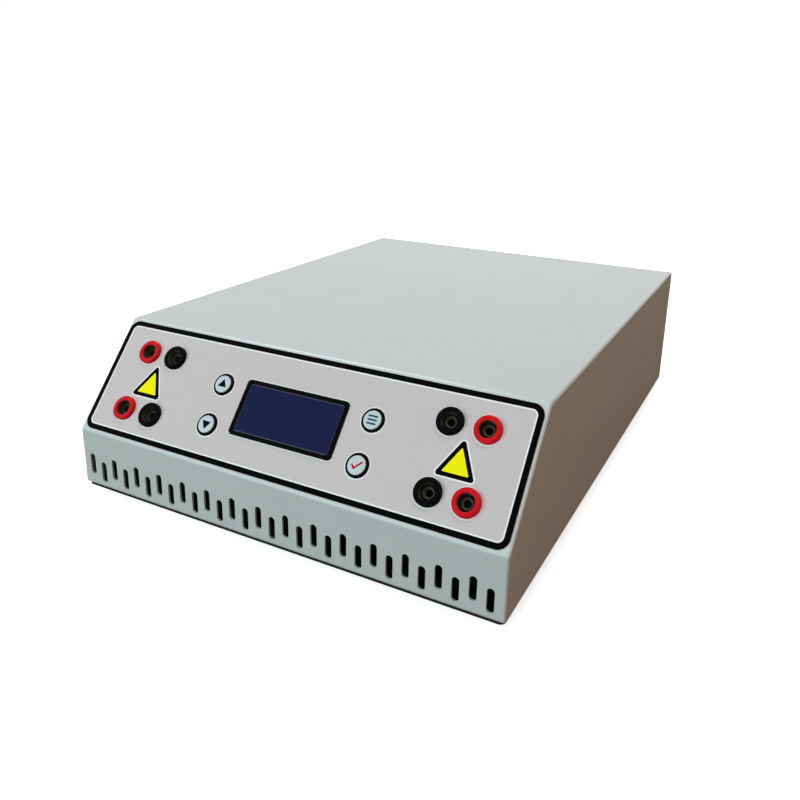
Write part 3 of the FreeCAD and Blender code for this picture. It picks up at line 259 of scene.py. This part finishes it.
coats = {
    "cover_shell": case_coat, "rear_panel": case_coat, "base_plate": black_zinc,
    "front_feet": foot_rubber, "rear_feet": foot_rubber, "board_screws": screw_metal,
    "overlay_panel": panel_film, "display_bezel": black_plastic, "display_window": display_pane,
    "lcd_frame": zinc_sheet, "lcd_glass": display_pane, "lcd_backlight": light_guide,
    "control_board": green_board, "board_spacers": screw_metal, "tact_switches": matt_plastic,
    "socket_contacts": contact_painted_shade, "contact_sleeves": sleeve_painted_shade, "socket_nuts": plated_brass,
    "key_up": key_plastic, "key_down": key_plastic, "key_set": key_plastic, "key_ok": key_plastic,
    "upper_key_rings": black_plastic, "lower_key_rings": black_plastic, "fan_frame": matt_plastic,
    "fan_rotor": matt_plastic, "switch_housing": matt_plastic, "switch_rocker": black_plastic,
    "switch_terminals": plated_brass, "inlet_body": matt_plastic, "inlet_pins": plated_brass,
    "fuse_drawer": matt_plastic, "fuse_link": fuse_glass, "board_standoffs": plated_brass,
    "main_board": green_board, "transformer_core": ferrite_core, "transformer_coil": copper_wire,
    "heat_sink": bare_aluminium, "power_transistors": matt_plastic, "filter_capacitors": bare_aluminium,
    "relays": relay_case, "bridge_rectifier": matt_plastic, "choke_coil": copper_wire,
    "terminal_blocks": terminal_case, "foot_screws": screw_metal,
}
for node, coat in coats.items():
    nodes[node].data.materials[0] = coat
# Painted shade: the cover's lip behind the vents turns dark green-grey on its upper side, standing in for the shade
# inside the case
paint_shade_inside(case_coat, "#1C2725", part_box("base_plate")[1].z + LIP_DEPTH * MM)


# Places on the case

def place(origin, across, up):
    """A face's frame: its origin in metres and its three axes as rows, the last one outwards."""
    across = np.array(across, float)
    up = np.array(up, float)
    return np.array(origin, float), np.array([across, up, np.cross(across, up)])


slope = math.radians(SLOPE_ANGLE)
film_low, film_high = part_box("overlay_panel")
panel_up = (0, math.cos(slope), math.sin(slope))
panel_out = np.array([0, -math.sin(slope), math.cos(slope)])
panel = place(np.array((film_low + film_high) / 2) - panel_out * FILM / 2 * MM, (1, 0, 0), panel_up)

cover_low, cover_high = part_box("cover_shell")
plate_low, plate_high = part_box("base_plate")
rear_low, rear_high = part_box("rear_panel")
case_width = (cover_high.x - cover_low.x) / MM
case_height = (cover_high.z - plate_low.z) / MM
cover_depth = (cover_high.y - cover_low.y) / MM
rear = place((0, rear_high.y, (cover_high.z + plate_low.z) / 2), (-1, 0, 0), (0, 0, 1))
underside = place((0, (cover_low.y + cover_high.y) / 2, plate_low.z), (1, 0, 0), (0, -1, 0))


def local(face, point):
    """A point in metres, as millimetres in a face's frame."""
    origin, axes = face
    return axes @ (np.array(point, float) - origin) / MM


def middle(face, node):
    """The middle of a CAD node's box, as millimetres in a face's frame."""
    low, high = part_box(node)
    return local(face, (low + high) / 2)


# Shapes: each is an array of points in rows and columns

def arc(centre, radius, start, end, steps=6):
    """Points of a circle's arc between two angles in degrees."""
    angle = np.radians(np.linspace(start, end, steps))
    return np.stack([centre[0] + radius * np.cos(angle), centre[1] + radius * np.sin(angle)], -1)


def rounded(corners, radius, steps=8):
    """A convex outline, counter-clockwise, whose corners are arcs. Each arc's centre lies on the
    bisector at radius / sin(half the corner), and it sweeps 180 degrees less the corner."""
    corners = np.array(corners, float)
    back = np.roll(corners, 1, 0) - corners
    ahead = np.roll(corners, -1, 0) - corners
    back /= np.linalg.norm(back, axis=1, keepdims=True)
    ahead /= np.linalg.norm(ahead, axis=1, keepdims=True)
    half = np.arccos(np.sum(back * ahead, 1)) / 2
    bisector = back + ahead
    bisector /= np.linalg.norm(bisector, axis=1, keepdims=True)
    centres = corners + bisector * (radius / np.sin(half))[:, None]
    outward = np.arctan2(-bisector[:, 1], -bisector[:, 0])
    angle = outward[:, None] + np.linspace(-0.5, 0.5, steps) * (np.pi - 2 * half)[:, None]
    turn = np.stack([np.cos(angle), np.sin(angle)], -1)
    return (centres[:, None] + radius * turn).reshape(-1, 2)


def circle(radius, steps=72):
    """A circle's points, counter-clockwise."""
    return arc((0, 0), radius, 0, 360, steps + 1)[:-1]


def rectangle(width, height, x=0.0, y=0.0):
    """The four corners of a rectangle, counter-clockwise."""
    return np.array([(-1, -1), (1, -1), (1, 1), (-1, 1)]) * (width / 2, height / 2) + (x, y)


def level(outline, height):
    """An outline's points at one height."""
    return np.column_stack([outline, np.full(len(outline), height)])


def band(outer, inner, low, high):
    """A flat ring between two outlines with as many points: its four sides, wrapped round."""
    return np.stack([level(outer, low), level(outer, high), level(inner, high), level(inner, low), level(outer, low)])


def slab(outline, low, high):
    """A flat plate: its outline at two heights, closed by its middle point below and above."""
    hub = np.tile(outline.mean(0), (len(outline), 1))
    return np.stack([level(hub, low), level(outline, low), level(outline, high), level(hub, high)])


def lathe(profile, columns=72):
    """A profile of (radius, height) points turned about the height axis: x = r cos a, y = r sin a."""
    angle = np.linspace(0, 2 * np.pi, columns, endpoint=False)
    radius, height = np.array(profile, float).T
    x = radius[:, None] * np.cos(angle)
    y = radius[:, None] * np.sin(angle)
    return np.stack([x, y, np.broadcast_to(height[:, None], x.shape)], -1)


def surface(name, face, shapes, finishes, body, replaced=(), smooth=40.0):
    """One piece from closed shapes in a face's frame. Each shape is (points, spot, finish): its columns wrap
    round, its rows run from end to end, and it is moved to the spot. The finish is a number, or one number for
    each band between two rows. Poles and seams are merged."""
    origin, axes = face
    points, quads, finish_numbers = [], [], []
    count = 0
    for grid, spot, finish in shapes:
        rows, columns = grid.shape[:2]
        points.append((grid.reshape(-1, 3) + spot) @ axes * MM + origin)
        index = np.arange(rows * columns).reshape(rows, columns) + count
        beside = np.roll(index, -1, 1)
        quads.append(np.stack([index[:-1], beside[:-1], beside[1:], index[1:]], -1).reshape(-1, 4))
        by_row = np.broadcast_to(finish, rows - 1)
        finish_numbers.append(np.repeat(by_row, columns))
        count += rows * columns
    mesh = bpy.data.meshes.new(name)
    mesh.from_pydata(np.concatenate(points), [], np.concatenate(quads).tolist())
    for finish in finishes:
        mesh.materials.append(finish)
    mesh.polygons.foreach_set("material_index", np.concatenate(finish_numbers).astype(np.int32))
    tidy(mesh, smooth)
    piece = bpy.data.objects.new(name, mesh)
    bpy.context.scene.collection.objects.link(piece)
    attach(piece, body)
    if replaced:
        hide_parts(*replaced)
    return piece


def tidy(mesh, smooth):
    """Merges the points that coincide, turns the faces outwards and shades them smooth up to an angle."""
    shell = bmesh.new()
    shell.from_mesh(mesh)
    bmesh.ops.remove_doubles(shell, verts=shell.verts, dist=1e-7)
    bmesh.ops.dissolve_degenerate(shell, edges=shell.edges, dist=1e-8)
    bmesh.ops.recalc_face_normals(shell, faces=shell.faces)
    shell.to_mesh(mesh)
    shell.free()
    mesh.set_sharp_from_angle(angle=math.radians(smooth))
    mesh.shade_smooth()


# Sockets: a flange with a soft outer edge, a mouth that rolls in and a shaft in painted shade

def socket_profile():
    """From the shaft's floor down the back, up the barrel, over the flange and into the mouth. The flange's
    outer edge and the mouth's rim are quarter circles. Also gives how many bands lie outside the shaft."""
    edge = 0.8
    lip = 0.55
    hold = SLEEVE_RADIUS + FIT
    under = [(hold, SOCKET_FLOOR), (hold, -SOCKET_DEPTH), (SOCKET_BARREL_RADIUS, -SOCKET_DEPTH),
             (SOCKET_BARREL_RADIUS, FILM), (SOCKET_FLANGE_RADIUS, FILM)]
    shoulder = arc((SOCKET_FLANGE_RADIUS - edge, SOCKET_FACE - edge), edge, 0, 90)
    rim = arc((SOCKET_MOUTH_RADIUS + lip, SOCKET_FACE - lip), lip, 90, 180)
    inside = [(SOCKET_MOUTH_RADIUS, SOCKET_FLOOR), (hold, SOCKET_FLOOR)]
    return np.concatenate([under, shoulder, rim, inside]), len(under) + len(shoulder) + len(rim) - 2


def sleeve_profile():
    """The sleeve round a contact, its outer front edge a quarter circle and its lip over the contact's rim."""
    edge = 0.3
    nose = arc((SLEEVE_RADIUS - edge, SLEEVE_FACE - edge), edge, 0, 90)
    return np.concatenate([[(CONTACT_HOLD_RADIUS, -SOCKET_DEPTH), (SLEEVE_RADIUS, -SOCKET_DEPTH)], nose,
                           [(SLEEVE_MOUTH_RADIUS, SLEEVE_FACE), (SLEEVE_MOUTH_RADIUS, SLEEVE_SEAT),
                            (CONTACT_HOLD_RADIUS, SLEEVE_SEAT), (CONTACT_HOLD_RADIUS, -SOCKET_DEPTH)]])


def sockets():
    """A pair of sockets for each CAD node, in painted shade inside, and the sleeves that stand in all of them."""
    profile, outer_bands = socket_profile()
    grid = lathe(profile)
    # The bands inside the shaft take the painted shade of the recess
    finish = (np.arange(len(profile) - 1) >= outer_bands).astype(int)
    sleeve = lathe(sleeve_profile())
    spots = {m["name"]: m["pos_m"] for m in frame["record"]["mounts"] if m["kind"] == "bore"}
    sleeves = []
    for colour, plastic in (("red", red_plastic), ("black", black_plastic)):
        for row in ("upper", "lower"):
            shapes = []
            for side in ("left", "right"):
                x, v, _ = local(panel, spots[f"output_{row}_{side}_{colour}"])
                shapes.append((grid, (x, v, 0), finish))
                sleeves.append((sleeve, (x, v, 0), 0))
            surface(f"{colour}_sockets_{row}", panel, shapes, (plastic, bore_painted_shade), "case",
                    [f"{row}_{colour}_sockets"])
    surface("sleeves_in_sockets", panel, sleeves, (sleeve_painted_shade,), "case", ["contact_sleeves"])


sockets()


# Keys: flat caps with a rolled edge, each with its printed mark

def key_cap(key):
    """A disc whose edge is a quarter circle, with the collar and stem of the CAD key below it."""
    x, v, _ = middle(panel, f"key_{key}")
    edge = 0.45
    profile = [(0, KEY_STEM_BOTTOM), (KEY_STEM_RADIUS, KEY_STEM_BOTTOM), (KEY_STEM_RADIUS, KEY_COLLAR_BOTTOM),
               (KEY_COLLAR_RADIUS, KEY_COLLAR_BOTTOM), (KEY_COLLAR_RADIUS, KEY_COLLAR_TOP),
               (KEY_RADIUS, KEY_COLLAR_TOP)]
    shoulder = arc((KEY_RADIUS - edge, KEY_FACE - edge), edge, 0, 90)
    grid = lathe(np.concatenate([profile, shoulder, [(0, KEY_FACE)]]))
    return surface(f"cap_{key}", panel, [(grid, (x, v, 0), 0)], (key_plastic,), f"key_{key}", [f"key_{key}"])


def key_mark(key, outlines, ink):
    """Thin plates of ink on a cap's face."""
    x, v, _ = middle(panel, f"key_{key}")
    shapes = [(slab(outline, KEY_FACE - INK, KEY_FACE + INK), (x, v, 0), 0) for outline in outlines]
    return surface(f"mark_{key}", panel, shapes, (ink,), f"key_{key}")


def stroke(start, end, width):
    """The outline of a straight stroke between two points."""
    start, end = np.array(start, float), np.array(end, float)
    along = (end - start) / np.linalg.norm(end - start)
    across = np.array([-along[1], along[0]]) * width / 2
    return np.array([start - across, end - across, end + across, start + across])


ARROW_HALF = 2.85
ARROW_BASE = -1.6
ARROW_TIP = 2.9
arrow = rounded([(-ARROW_HALF, ARROW_BASE), (ARROW_HALF, ARROW_BASE), (0, ARROW_TIP)], 0.25, 4)
menu_bars = [rounded(rectangle(5.2, 0.9, y=y), 0.3, 4) for y in (-1.9, 0.0, 1.9)]
tick = [stroke((-2.6, 0.1), (-0.65, -1.95), 1.0), stroke((-1.0, -1.85), (2.8, 2.1), 1.0)]
for key in ("up", "down", "set", "ok"):
    key_cap(key)
key_mark("up", [arrow], black_ink)
key_mark("down", [-arrow], black_ink)
key_mark("set", menu_bars, teal_ink)
key_mark("ok", tick, red_ink)


# Printing on the film

def printed_border():
    """A black line of even width along the film's edge, with round corners."""
    outer = rounded(rectangle(FILM_WIDTH, FILM_HEIGHT), BORDER_CORNER, 12)
    inner = rounded(rectangle(FILM_WIDTH - 2 * BORDER_WIDTH, FILM_HEIGHT - 2 * BORDER_WIDTH),
                    BORDER_CORNER - BORDER_WIDTH, 12)
    grid = band(outer, inner, FILM - INK, FILM + INK)
    return surface("printed_border", panel, [(grid, (0, 0, 0), 0)], (black_ink,), "case")


def triangle(growth, corner):
    """The triangle's outline moved outwards by a distance: its corners run away from the incentre, which lies
    at the mean of the corners weighted by the opposite sides."""
    corners = np.array([(-TRIANGLE_HALF, TRIANGLE_BASE), (TRIANGLE_HALF, TRIANGLE_BASE), (0, TRIANGLE_TOP)])
    sides = np.linalg.norm(np.roll(corners, -1, 0) - np.roll(corners, 1, 0), axis=1)
    incentre = (corners * sides[:, None]).sum(0) / sides.sum()
    (ax, ay), (bx, by) = corners[1] - corners[0], corners[2] - corners[0]
    inner_radius = (ax * by - ay * bx) / sides.sum()
    return rounded(incentre + (corners - incentre) * (1 + growth / inner_radius), corner)


def printed_triangles():
    """A plain yellow triangle inside a black edge, between the sockets at each end."""
    inner = triangle(-TRIANGLE_EDGE, TRIANGLE_CORNER / 3)
    edge = band(triangle(0, TRIANGLE_CORNER), inner, FILM - INK, FILM + INK)
    fill = slab(inner, FILM - INK, FILM + INK)
    spots = [(side * TRIANGLE_OFFSET, 0, 0) for side in (-1, 1)]
    shapes = [(edge, spot, 0) for spot in spots] + [(fill, spot, 1) for spot in spots]
    return surface("printed_triangles", panel, shapes, (black_ink, yellow_ink), "case")


def printed_keylines():
    """Pale lines round the sockets, keys, display and triangles and inside the border."""
    low, high = FILM - INK, FILM + INK / 2
    width = KEYLINE_WIDTH

    def ring(radius):
        return band(circle(radius + width), circle(radius), low, high)

    shapes = []
    for mount in frame["record"]["mounts"]:
        if mount["kind"] == "bore":
            x, v, _ = local(panel, mount["pos_m"])
            shapes.append((ring(SOCKET_FLANGE_RADIUS), (x, v, 0), 0))
    for key in ("up", "down", "set", "ok"):
        x, v, _ = middle(panel, f"key_{key}")
        shapes.append((ring(KEY_RING_RADIUS), (x, v, 0), 0))
    line = band(triangle(width, TRIANGLE_CORNER + width), triangle(0, TRIANGLE_CORNER), low, high)
    shapes += [(line, (side * TRIANGLE_OFFSET, 0, 0), 0) for side in (-1, 1)]
    _, v, _ = middle(panel, "display_bezel")
    frame_line = band(rounded(rectangle(BEZEL_WIDTH + 2 * width, BEZEL_HEIGHT + 2 * width), BEZEL_CORNER + width),
                      rounded(rectangle(BEZEL_WIDTH, BEZEL_HEIGHT), BEZEL_CORNER), low, high)
    shapes.append((frame_line, (0, v, 0), 0))
    reach = 2 * BORDER_WIDTH
    corner = BORDER_CORNER - BORDER_WIDTH
    border_line = band(rounded(rectangle(FILM_WIDTH - reach, FILM_HEIGHT - reach), corner),
                       rounded(rectangle(FILM_WIDTH - reach - 2 * width, FILM_HEIGHT - reach - 2 * width),
                               corner - width), low, high)
    shapes.append((border_line, (0, 0, 0), 0))
    return surface("printed_keylines", panel, shapes, (white_ink,), "case")


def painted_pane_highlight():
    """A thin pale line drawn on the pane's face along the bezel: a painted highlight of the pane's polished edge."""
    _, v, _ = middle(panel, "display_window")
    width = 0.45
    outer = rounded(rectangle(WINDOW_WIDTH - 0.1, WINDOW_HEIGHT - 0.1), WINDOW_CORNER)
    inner = rounded(rectangle(WINDOW_WIDTH - 0.1 - 2 * width, WINDOW_HEIGHT - 0.1 - 2 * width), WINDOW_CORNER - width)
    grid = band(outer, inner, WINDOW_FACE - INK, WINDOW_FACE + INK)
    return surface("painted_pane_highlight", panel, [(grid, (0, v, 0), 0)], (pane_edge_highlight,), "case")


printed_border()
printed_triangles()
printed_keylines()
painted_pane_highlight()


# Marks on the power switch

def rocker_half(side):
    """The frame of one half of the rocker's face, 1 for the upper and -1 for the lower. The halves rise from
    the middle by the tilt, and the rocker as a whole is turned about its pins by the same angle."""
    tilt = math.radians(ROCKER_TILT)
    low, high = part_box("switch_rocker")
    x = local(rear, (low + high) / 2)[0]
    out = ROCKER_CROWN + ROCKER_PIVOT_DEPTH
    middle_y = -out * math.sin(tilt)
    middle_z = out * math.cos(tilt) - ROCKER_PIVOT_DEPTH
    turn = tilt * (1 + side)
    origin, axes = rear
    up = np.array([0, math.cos(turn), math.sin(turn)]) @ axes
    return place(np.array([x, middle_y, middle_z]) @ axes * MM + origin, axes[0], up)


def rocker_marks():
    """A stroke on the half that switches on and a ring on the half that switches off."""
    reach = 5.6
    bar = slab(rounded(rectangle(1.0, 4.4), 0.3, 4), -INK, INK)
    ring = band(circle(2.3), circle(1.5), -INK, INK)
    for name, mark, side in (("rocker_mark_on", bar, 1), ("rocker_mark_off", ring, -1)):
        surface(name, rocker_half(side), [(mark, (0, side * reach, 0), 0)], (white_ink,), "switch_rocker")


rocker_marks()


# Screws

def square_rings(reach, arm, steps=6):
    """Rings of a disc that keep a cross straight. Each ring is a square of half side s, whose sides have points
    at the arm's edges, and (u, v) goes to (u sqrt(1 - v v / 2), v sqrt(1 - u u / 2)), which makes the unit
    square a unit circle."""
    mark = 0.4
    along = np.concatenate([np.linspace(-1, -mark, steps), np.linspace(-mark, mark, steps)[1:],
                            np.linspace(mark, 1, steps)[1:-1]])
    half = reach[:, None]
    edge = np.minimum(arm, half)
    beyond = np.sign(along) * np.maximum(np.abs(along) - mark, 0) / (1 - mark)
    side = edge * np.clip(along / mark, -1, 1) + (half - edge) * beyond
    front = np.broadcast_to(half, side.shape)
    u = np.concatenate([front, -side, -front, side], 1)
    v = np.concatenate([side, front, -side, -front], 1)
    return u, v, u * np.sqrt(1 - v * v / 2), v * np.sqrt(1 - u * u / 2)


def pan_head(radius, head_radius, head_height, length):
    """A domed head with a cross-shaped recess and a plain shank. The dome's height at a share s of the radius is
    side + crown sqrt(1 - s s); inside the cross it drops to the recess, whose ends slope up."""
    crown = 0.35 * head_height
    side = head_height - crown
    arm, arm_end, slope_start = 0.16, 0.56, 0.4
    reach = np.array([0, 0.08, 0.16, 0.2, 0.28, 0.36, 0.4, 0.48, 0.56, 0.6, 0.7, 0.8, 0.88, 0.94, 0.98, 1.0])
    u, v, x, y = square_rings(reach, arm)
    height = side + crown * np.sqrt(np.maximum(1 - x * x - y * y, 0))
    near = np.minimum(np.abs(u), np.abs(v))
    far = np.maximum(np.abs(u), np.abs(v))
    depth = np.clip((arm_end - far) / (arm_end - slope_start), 0, 1) * (near < arm - 0.01)
    top = np.stack([head_radius * x, head_radius * y, height - 0.5 * head_height * depth], -1)
    rim = top[-1, :, :2]
    shank = rim / head_radius * radius
    under = [level(rim, 0), level(shank, 0), level(shank, -length), level(0 * shank, -length)]
    return np.concatenate([top, under])[::-1]


def screws():
    """Pan-head screws round the base plate, the rear panel, the fan and the inlet."""
    side = case_width / 2 - BASE_LIP / 2
    end = cover_depth / 2 - BASE_LIP / 2
    rows = (-BASE_SCREW_SPAN / 2, 0, BASE_SCREW_SPAN / 2)
    small = pan_head(SCREW_RADIUS, SCREW_HEAD_RADIUS, SCREW_HEAD_HEIGHT, SCREW_LENGTH)
    large = pan_head(FAN_SCREW_RADIUS, FAN_SCREW_HEAD_RADIUS, FAN_SCREW_HEAD_HEIGHT, FAN_SCREW_LENGTH)
    below = [(i * side, y) for i in (-1, 1) for y in rows] + [(0, end), (0, -end)]
    surface("base_screws", underside, [(small, (x, y, 0), 0) for x, y in below], (screw_metal,), "case")
    side = case_width / 2 - REAR_LIP / 2
    behind = [(i * side, j * REAR_SCREW_SPAN / 2) for i in (-1, 1) for j in (-1, 1)]
    behind.append((0, case_height / 2 - REAR_LIP / 2))
    surface("rear_screws", rear, [(small, (x, y, 0), 0) for x, y in behind], (screw_metal,), "case",
            ["case_screws"])
    fan_x = middle(rear, "fan_frame")[0]
    half = FAN_HOLE_SPACING / 2
    corners = [(fan_x + i * half, j * half) for i in (-1, 1) for j in (-1, 1)]
    surface("fan_corner_screws", rear, [(large, (x, y, 0), 0) for x, y in corners], (screw_metal,), "case",
            ["fan_screws"])
    inlet_x = middle(rear, "inlet_body")[0]
    ends = [(inlet_x + i * INLET_SCREW_SPACING / 2, 0) for i in (-1, 1)]
    surface("inlet_flange_screws", rear, [(small, (x, y, INLET_FLANGE_RISE), 0) for x, y in ends], (screw_metal,),
            "case", ["inlet_screws"])


screws()


# Stage, light and camera

CAMERA_PLACE = (220.5, -453.9, 232.6)
CAMERA_AZIMUTH = 27.83      # degrees, from the front towards the right
CAMERA_ELEVATION = 16.80
CAMERA_ROLL = 1.08
FOCAL_PIXELS = 784.0
PHOTO_PIXELS = 800.0
PRINCIPAL_ROW = 320.0       # pixel row that the camera's axis meets
SENSOR = 36.0


def camera():
    """A camera at the photograph's station, turned by azimuth, elevation and roll."""
    lens = bpy.data.cameras.new("bench_camera")
    lens.sensor_width = SENSOR
    lens.lens = FOCAL_PIXELS / PHOTO_PIXELS * SENSOR
    lens.shift_y = PRINCIPAL_ROW / PHOTO_PIXELS - 0.5
    lens.clip_start = 0.01
    made = bpy.data.objects.new("bench_camera", lens)
    bpy.context.scene.collection.objects.link(made)
    azimuth, elevation, roll = (math.radians(a) for a in (CAMERA_AZIMUTH, CAMERA_ELEVATION, CAMERA_ROLL))
    turn = (Matrix.Rotation(azimuth, 4, "Z") @ Matrix.Rotation(math.pi / 2 - elevation, 4, "X")
            @ Matrix.Rotation(roll, 4, "Z"))
    made.matrix_world = Matrix.Translation(Vector(CAMERA_PLACE) * MM) @ turn
    bpy.context.scene.camera = made


def lamp(name, spot, size, strength, colour="#FFFFFF", mirrored=True, lights=True):
    """A softbox aimed at the middle of the case, its place, width and height in metres. A white surface that
    faces it there is as bright as its strength: the power in watts is that times pi squared times the distance
    squared. Glossy surfaces mirror it unless mirrored is off, and with lights off that is all it does."""
    aim = Vector((0, 0, 0.04)) - Vector(spot)
    light = bpy.data.lights.new(name, "AREA")
    light.shape = "RECTANGLE"
    light.size, light.size_y = size
    light.energy = strength * math.pi ** 2 * aim.length_squared
    light.color = linear(colour)[:3]
    made = bpy.data.objects.new(name, light)
    made.visible_camera = False
    made.visible_glossy = mirrored
    made.visible_diffuse = lights
    bpy.context.scene.collection.objects.link(made)
    made.matrix_world = Matrix.Translation(spot) @ aim.to_track_quat("-Z", "Y").to_matrix().to_4x4()


def room(ambient):
    """A white room to the camera and in reflections, which lights the object at a lower level."""
    world = bpy.data.worlds.new("white_room")
    world.use_nodes = True
    tree = world.node_tree
    tree.nodes.clear()
    path = add(tree, "ShaderNodeLightPath").outputs
    sharp = add(tree, "ShaderNodeMath", {0: path["Is Glossy Ray"], 1: path["Is Transmission Ray"]},
                operation="MAXIMUM").outputs[0]
    seen = add(tree, "ShaderNodeMath", {0: path["Is Camera Ray"], 1: sharp}, operation="MAXIMUM").outputs[0]
    strength = add(tree, "ShaderNodeMapRange", {"Value": seen, "To Min": ambient, "To Max": 1.0})
    light = add(tree, "ShaderNodeBackground", {"Color": (1, 1, 1, 1), "Strength": strength.outputs["Result"]})
    output = add(tree, "ShaderNodeOutputWorld")
    tree.links.new(light.outputs[0], output.inputs["Surface"])
    bpy.context.scene.world = world


def floor(bounce, paper, glow):
    """A wide floor. The camera sees paper of one colour, lifted by a glow that grows to white with the
    distance, and darker in the object's shadow. What bounces back onto the object has the bounce colour."""
    near, far = 0.4, 1.6
    made = bpy.data.materials.new("matt_paper_on_a_bench")
    made.use_nodes = True
    tree = made.node_tree
    tree.nodes.clear()
    seen = add(tree, "ShaderNodeLightPath").outputs["Is Camera Ray"]
    shade = add(tree, "ShaderNodeMix", {"Factor": seen}, data_type="RGBA")
    shade.inputs["A"].default_value = linear(bounce)
    shade.inputs["B"].default_value = linear(paper)
    matt = add(tree, "ShaderNodeBsdfDiffuse", {"Color": shade.outputs["Result"]})
    spot = add(tree, "ShaderNodeTexCoord").outputs["Object"]
    distance = add(tree, "ShaderNodeVectorMath", {0: spot}, operation="LENGTH").outputs["Value"]
    rise = add(tree, "ShaderNodeMapRange", {"Value": distance, "From Min": near, "From Max": far,
                                            "To Min": glow, "To Max": 1.0}).outputs["Result"]
    lift = add(tree, "ShaderNodeMath", {0: seen, 1: rise}, operation="MULTIPLY")
    white = add(tree, "ShaderNodeEmission", {"Strength": lift.outputs[0]})
    both = add(tree, "ShaderNodeAddShader", {0: matt.outputs[0], 1: white.outputs[0]})
    output = add(tree, "ShaderNodeOutputMaterial")
    tree.links.new(both.outputs[0], output.inputs["Surface"])
    mesh = bpy.data.meshes.new("floor")
    half = 6.0
    mesh.from_pydata([(-half, -half, 0), (half, -half, 0), (half, half, 0), (-half, half, 0)], [], [(0, 1, 2, 3)])
    mesh.materials.append(made)
    sheet = bpy.data.objects.new("floor", mesh)
    bpy.context.scene.collection.objects.link(sheet)


camera()
lamp("softbox_overhead", (0.3, -0.3, 2.0), (1.2, 1.2), 0.28)
lamp("softbox_front_left", (-1.56, -2.8, 1.44), (2.4, 2.4), 0.74, "#E6FAFF", mirrored=False)
lamp("strip_light_low", (-0.9, -1.75, 0.07), (0.8, 0.09), 0.08, "#E6FAFF")
lamp("strip_light_high", (-1.03, 0.72, 1.75), (1.5, 0.6), 0.45, "#F4FCFF", lights=False)
lamp("warm_fill_right", (2.0, -0.1, 0.5), (1.0, 0.8), 0.133, "#FFB376")
lamp("softbox_behind", (-0.6, 2.4, 0.55), (1.2, 0.8), 0.45, mirrored=False)
room(0.12)
floor("#857562", "#F2F2F2", 0.75)
bpy.context.scene.view_settings.view_transform = "Standard"
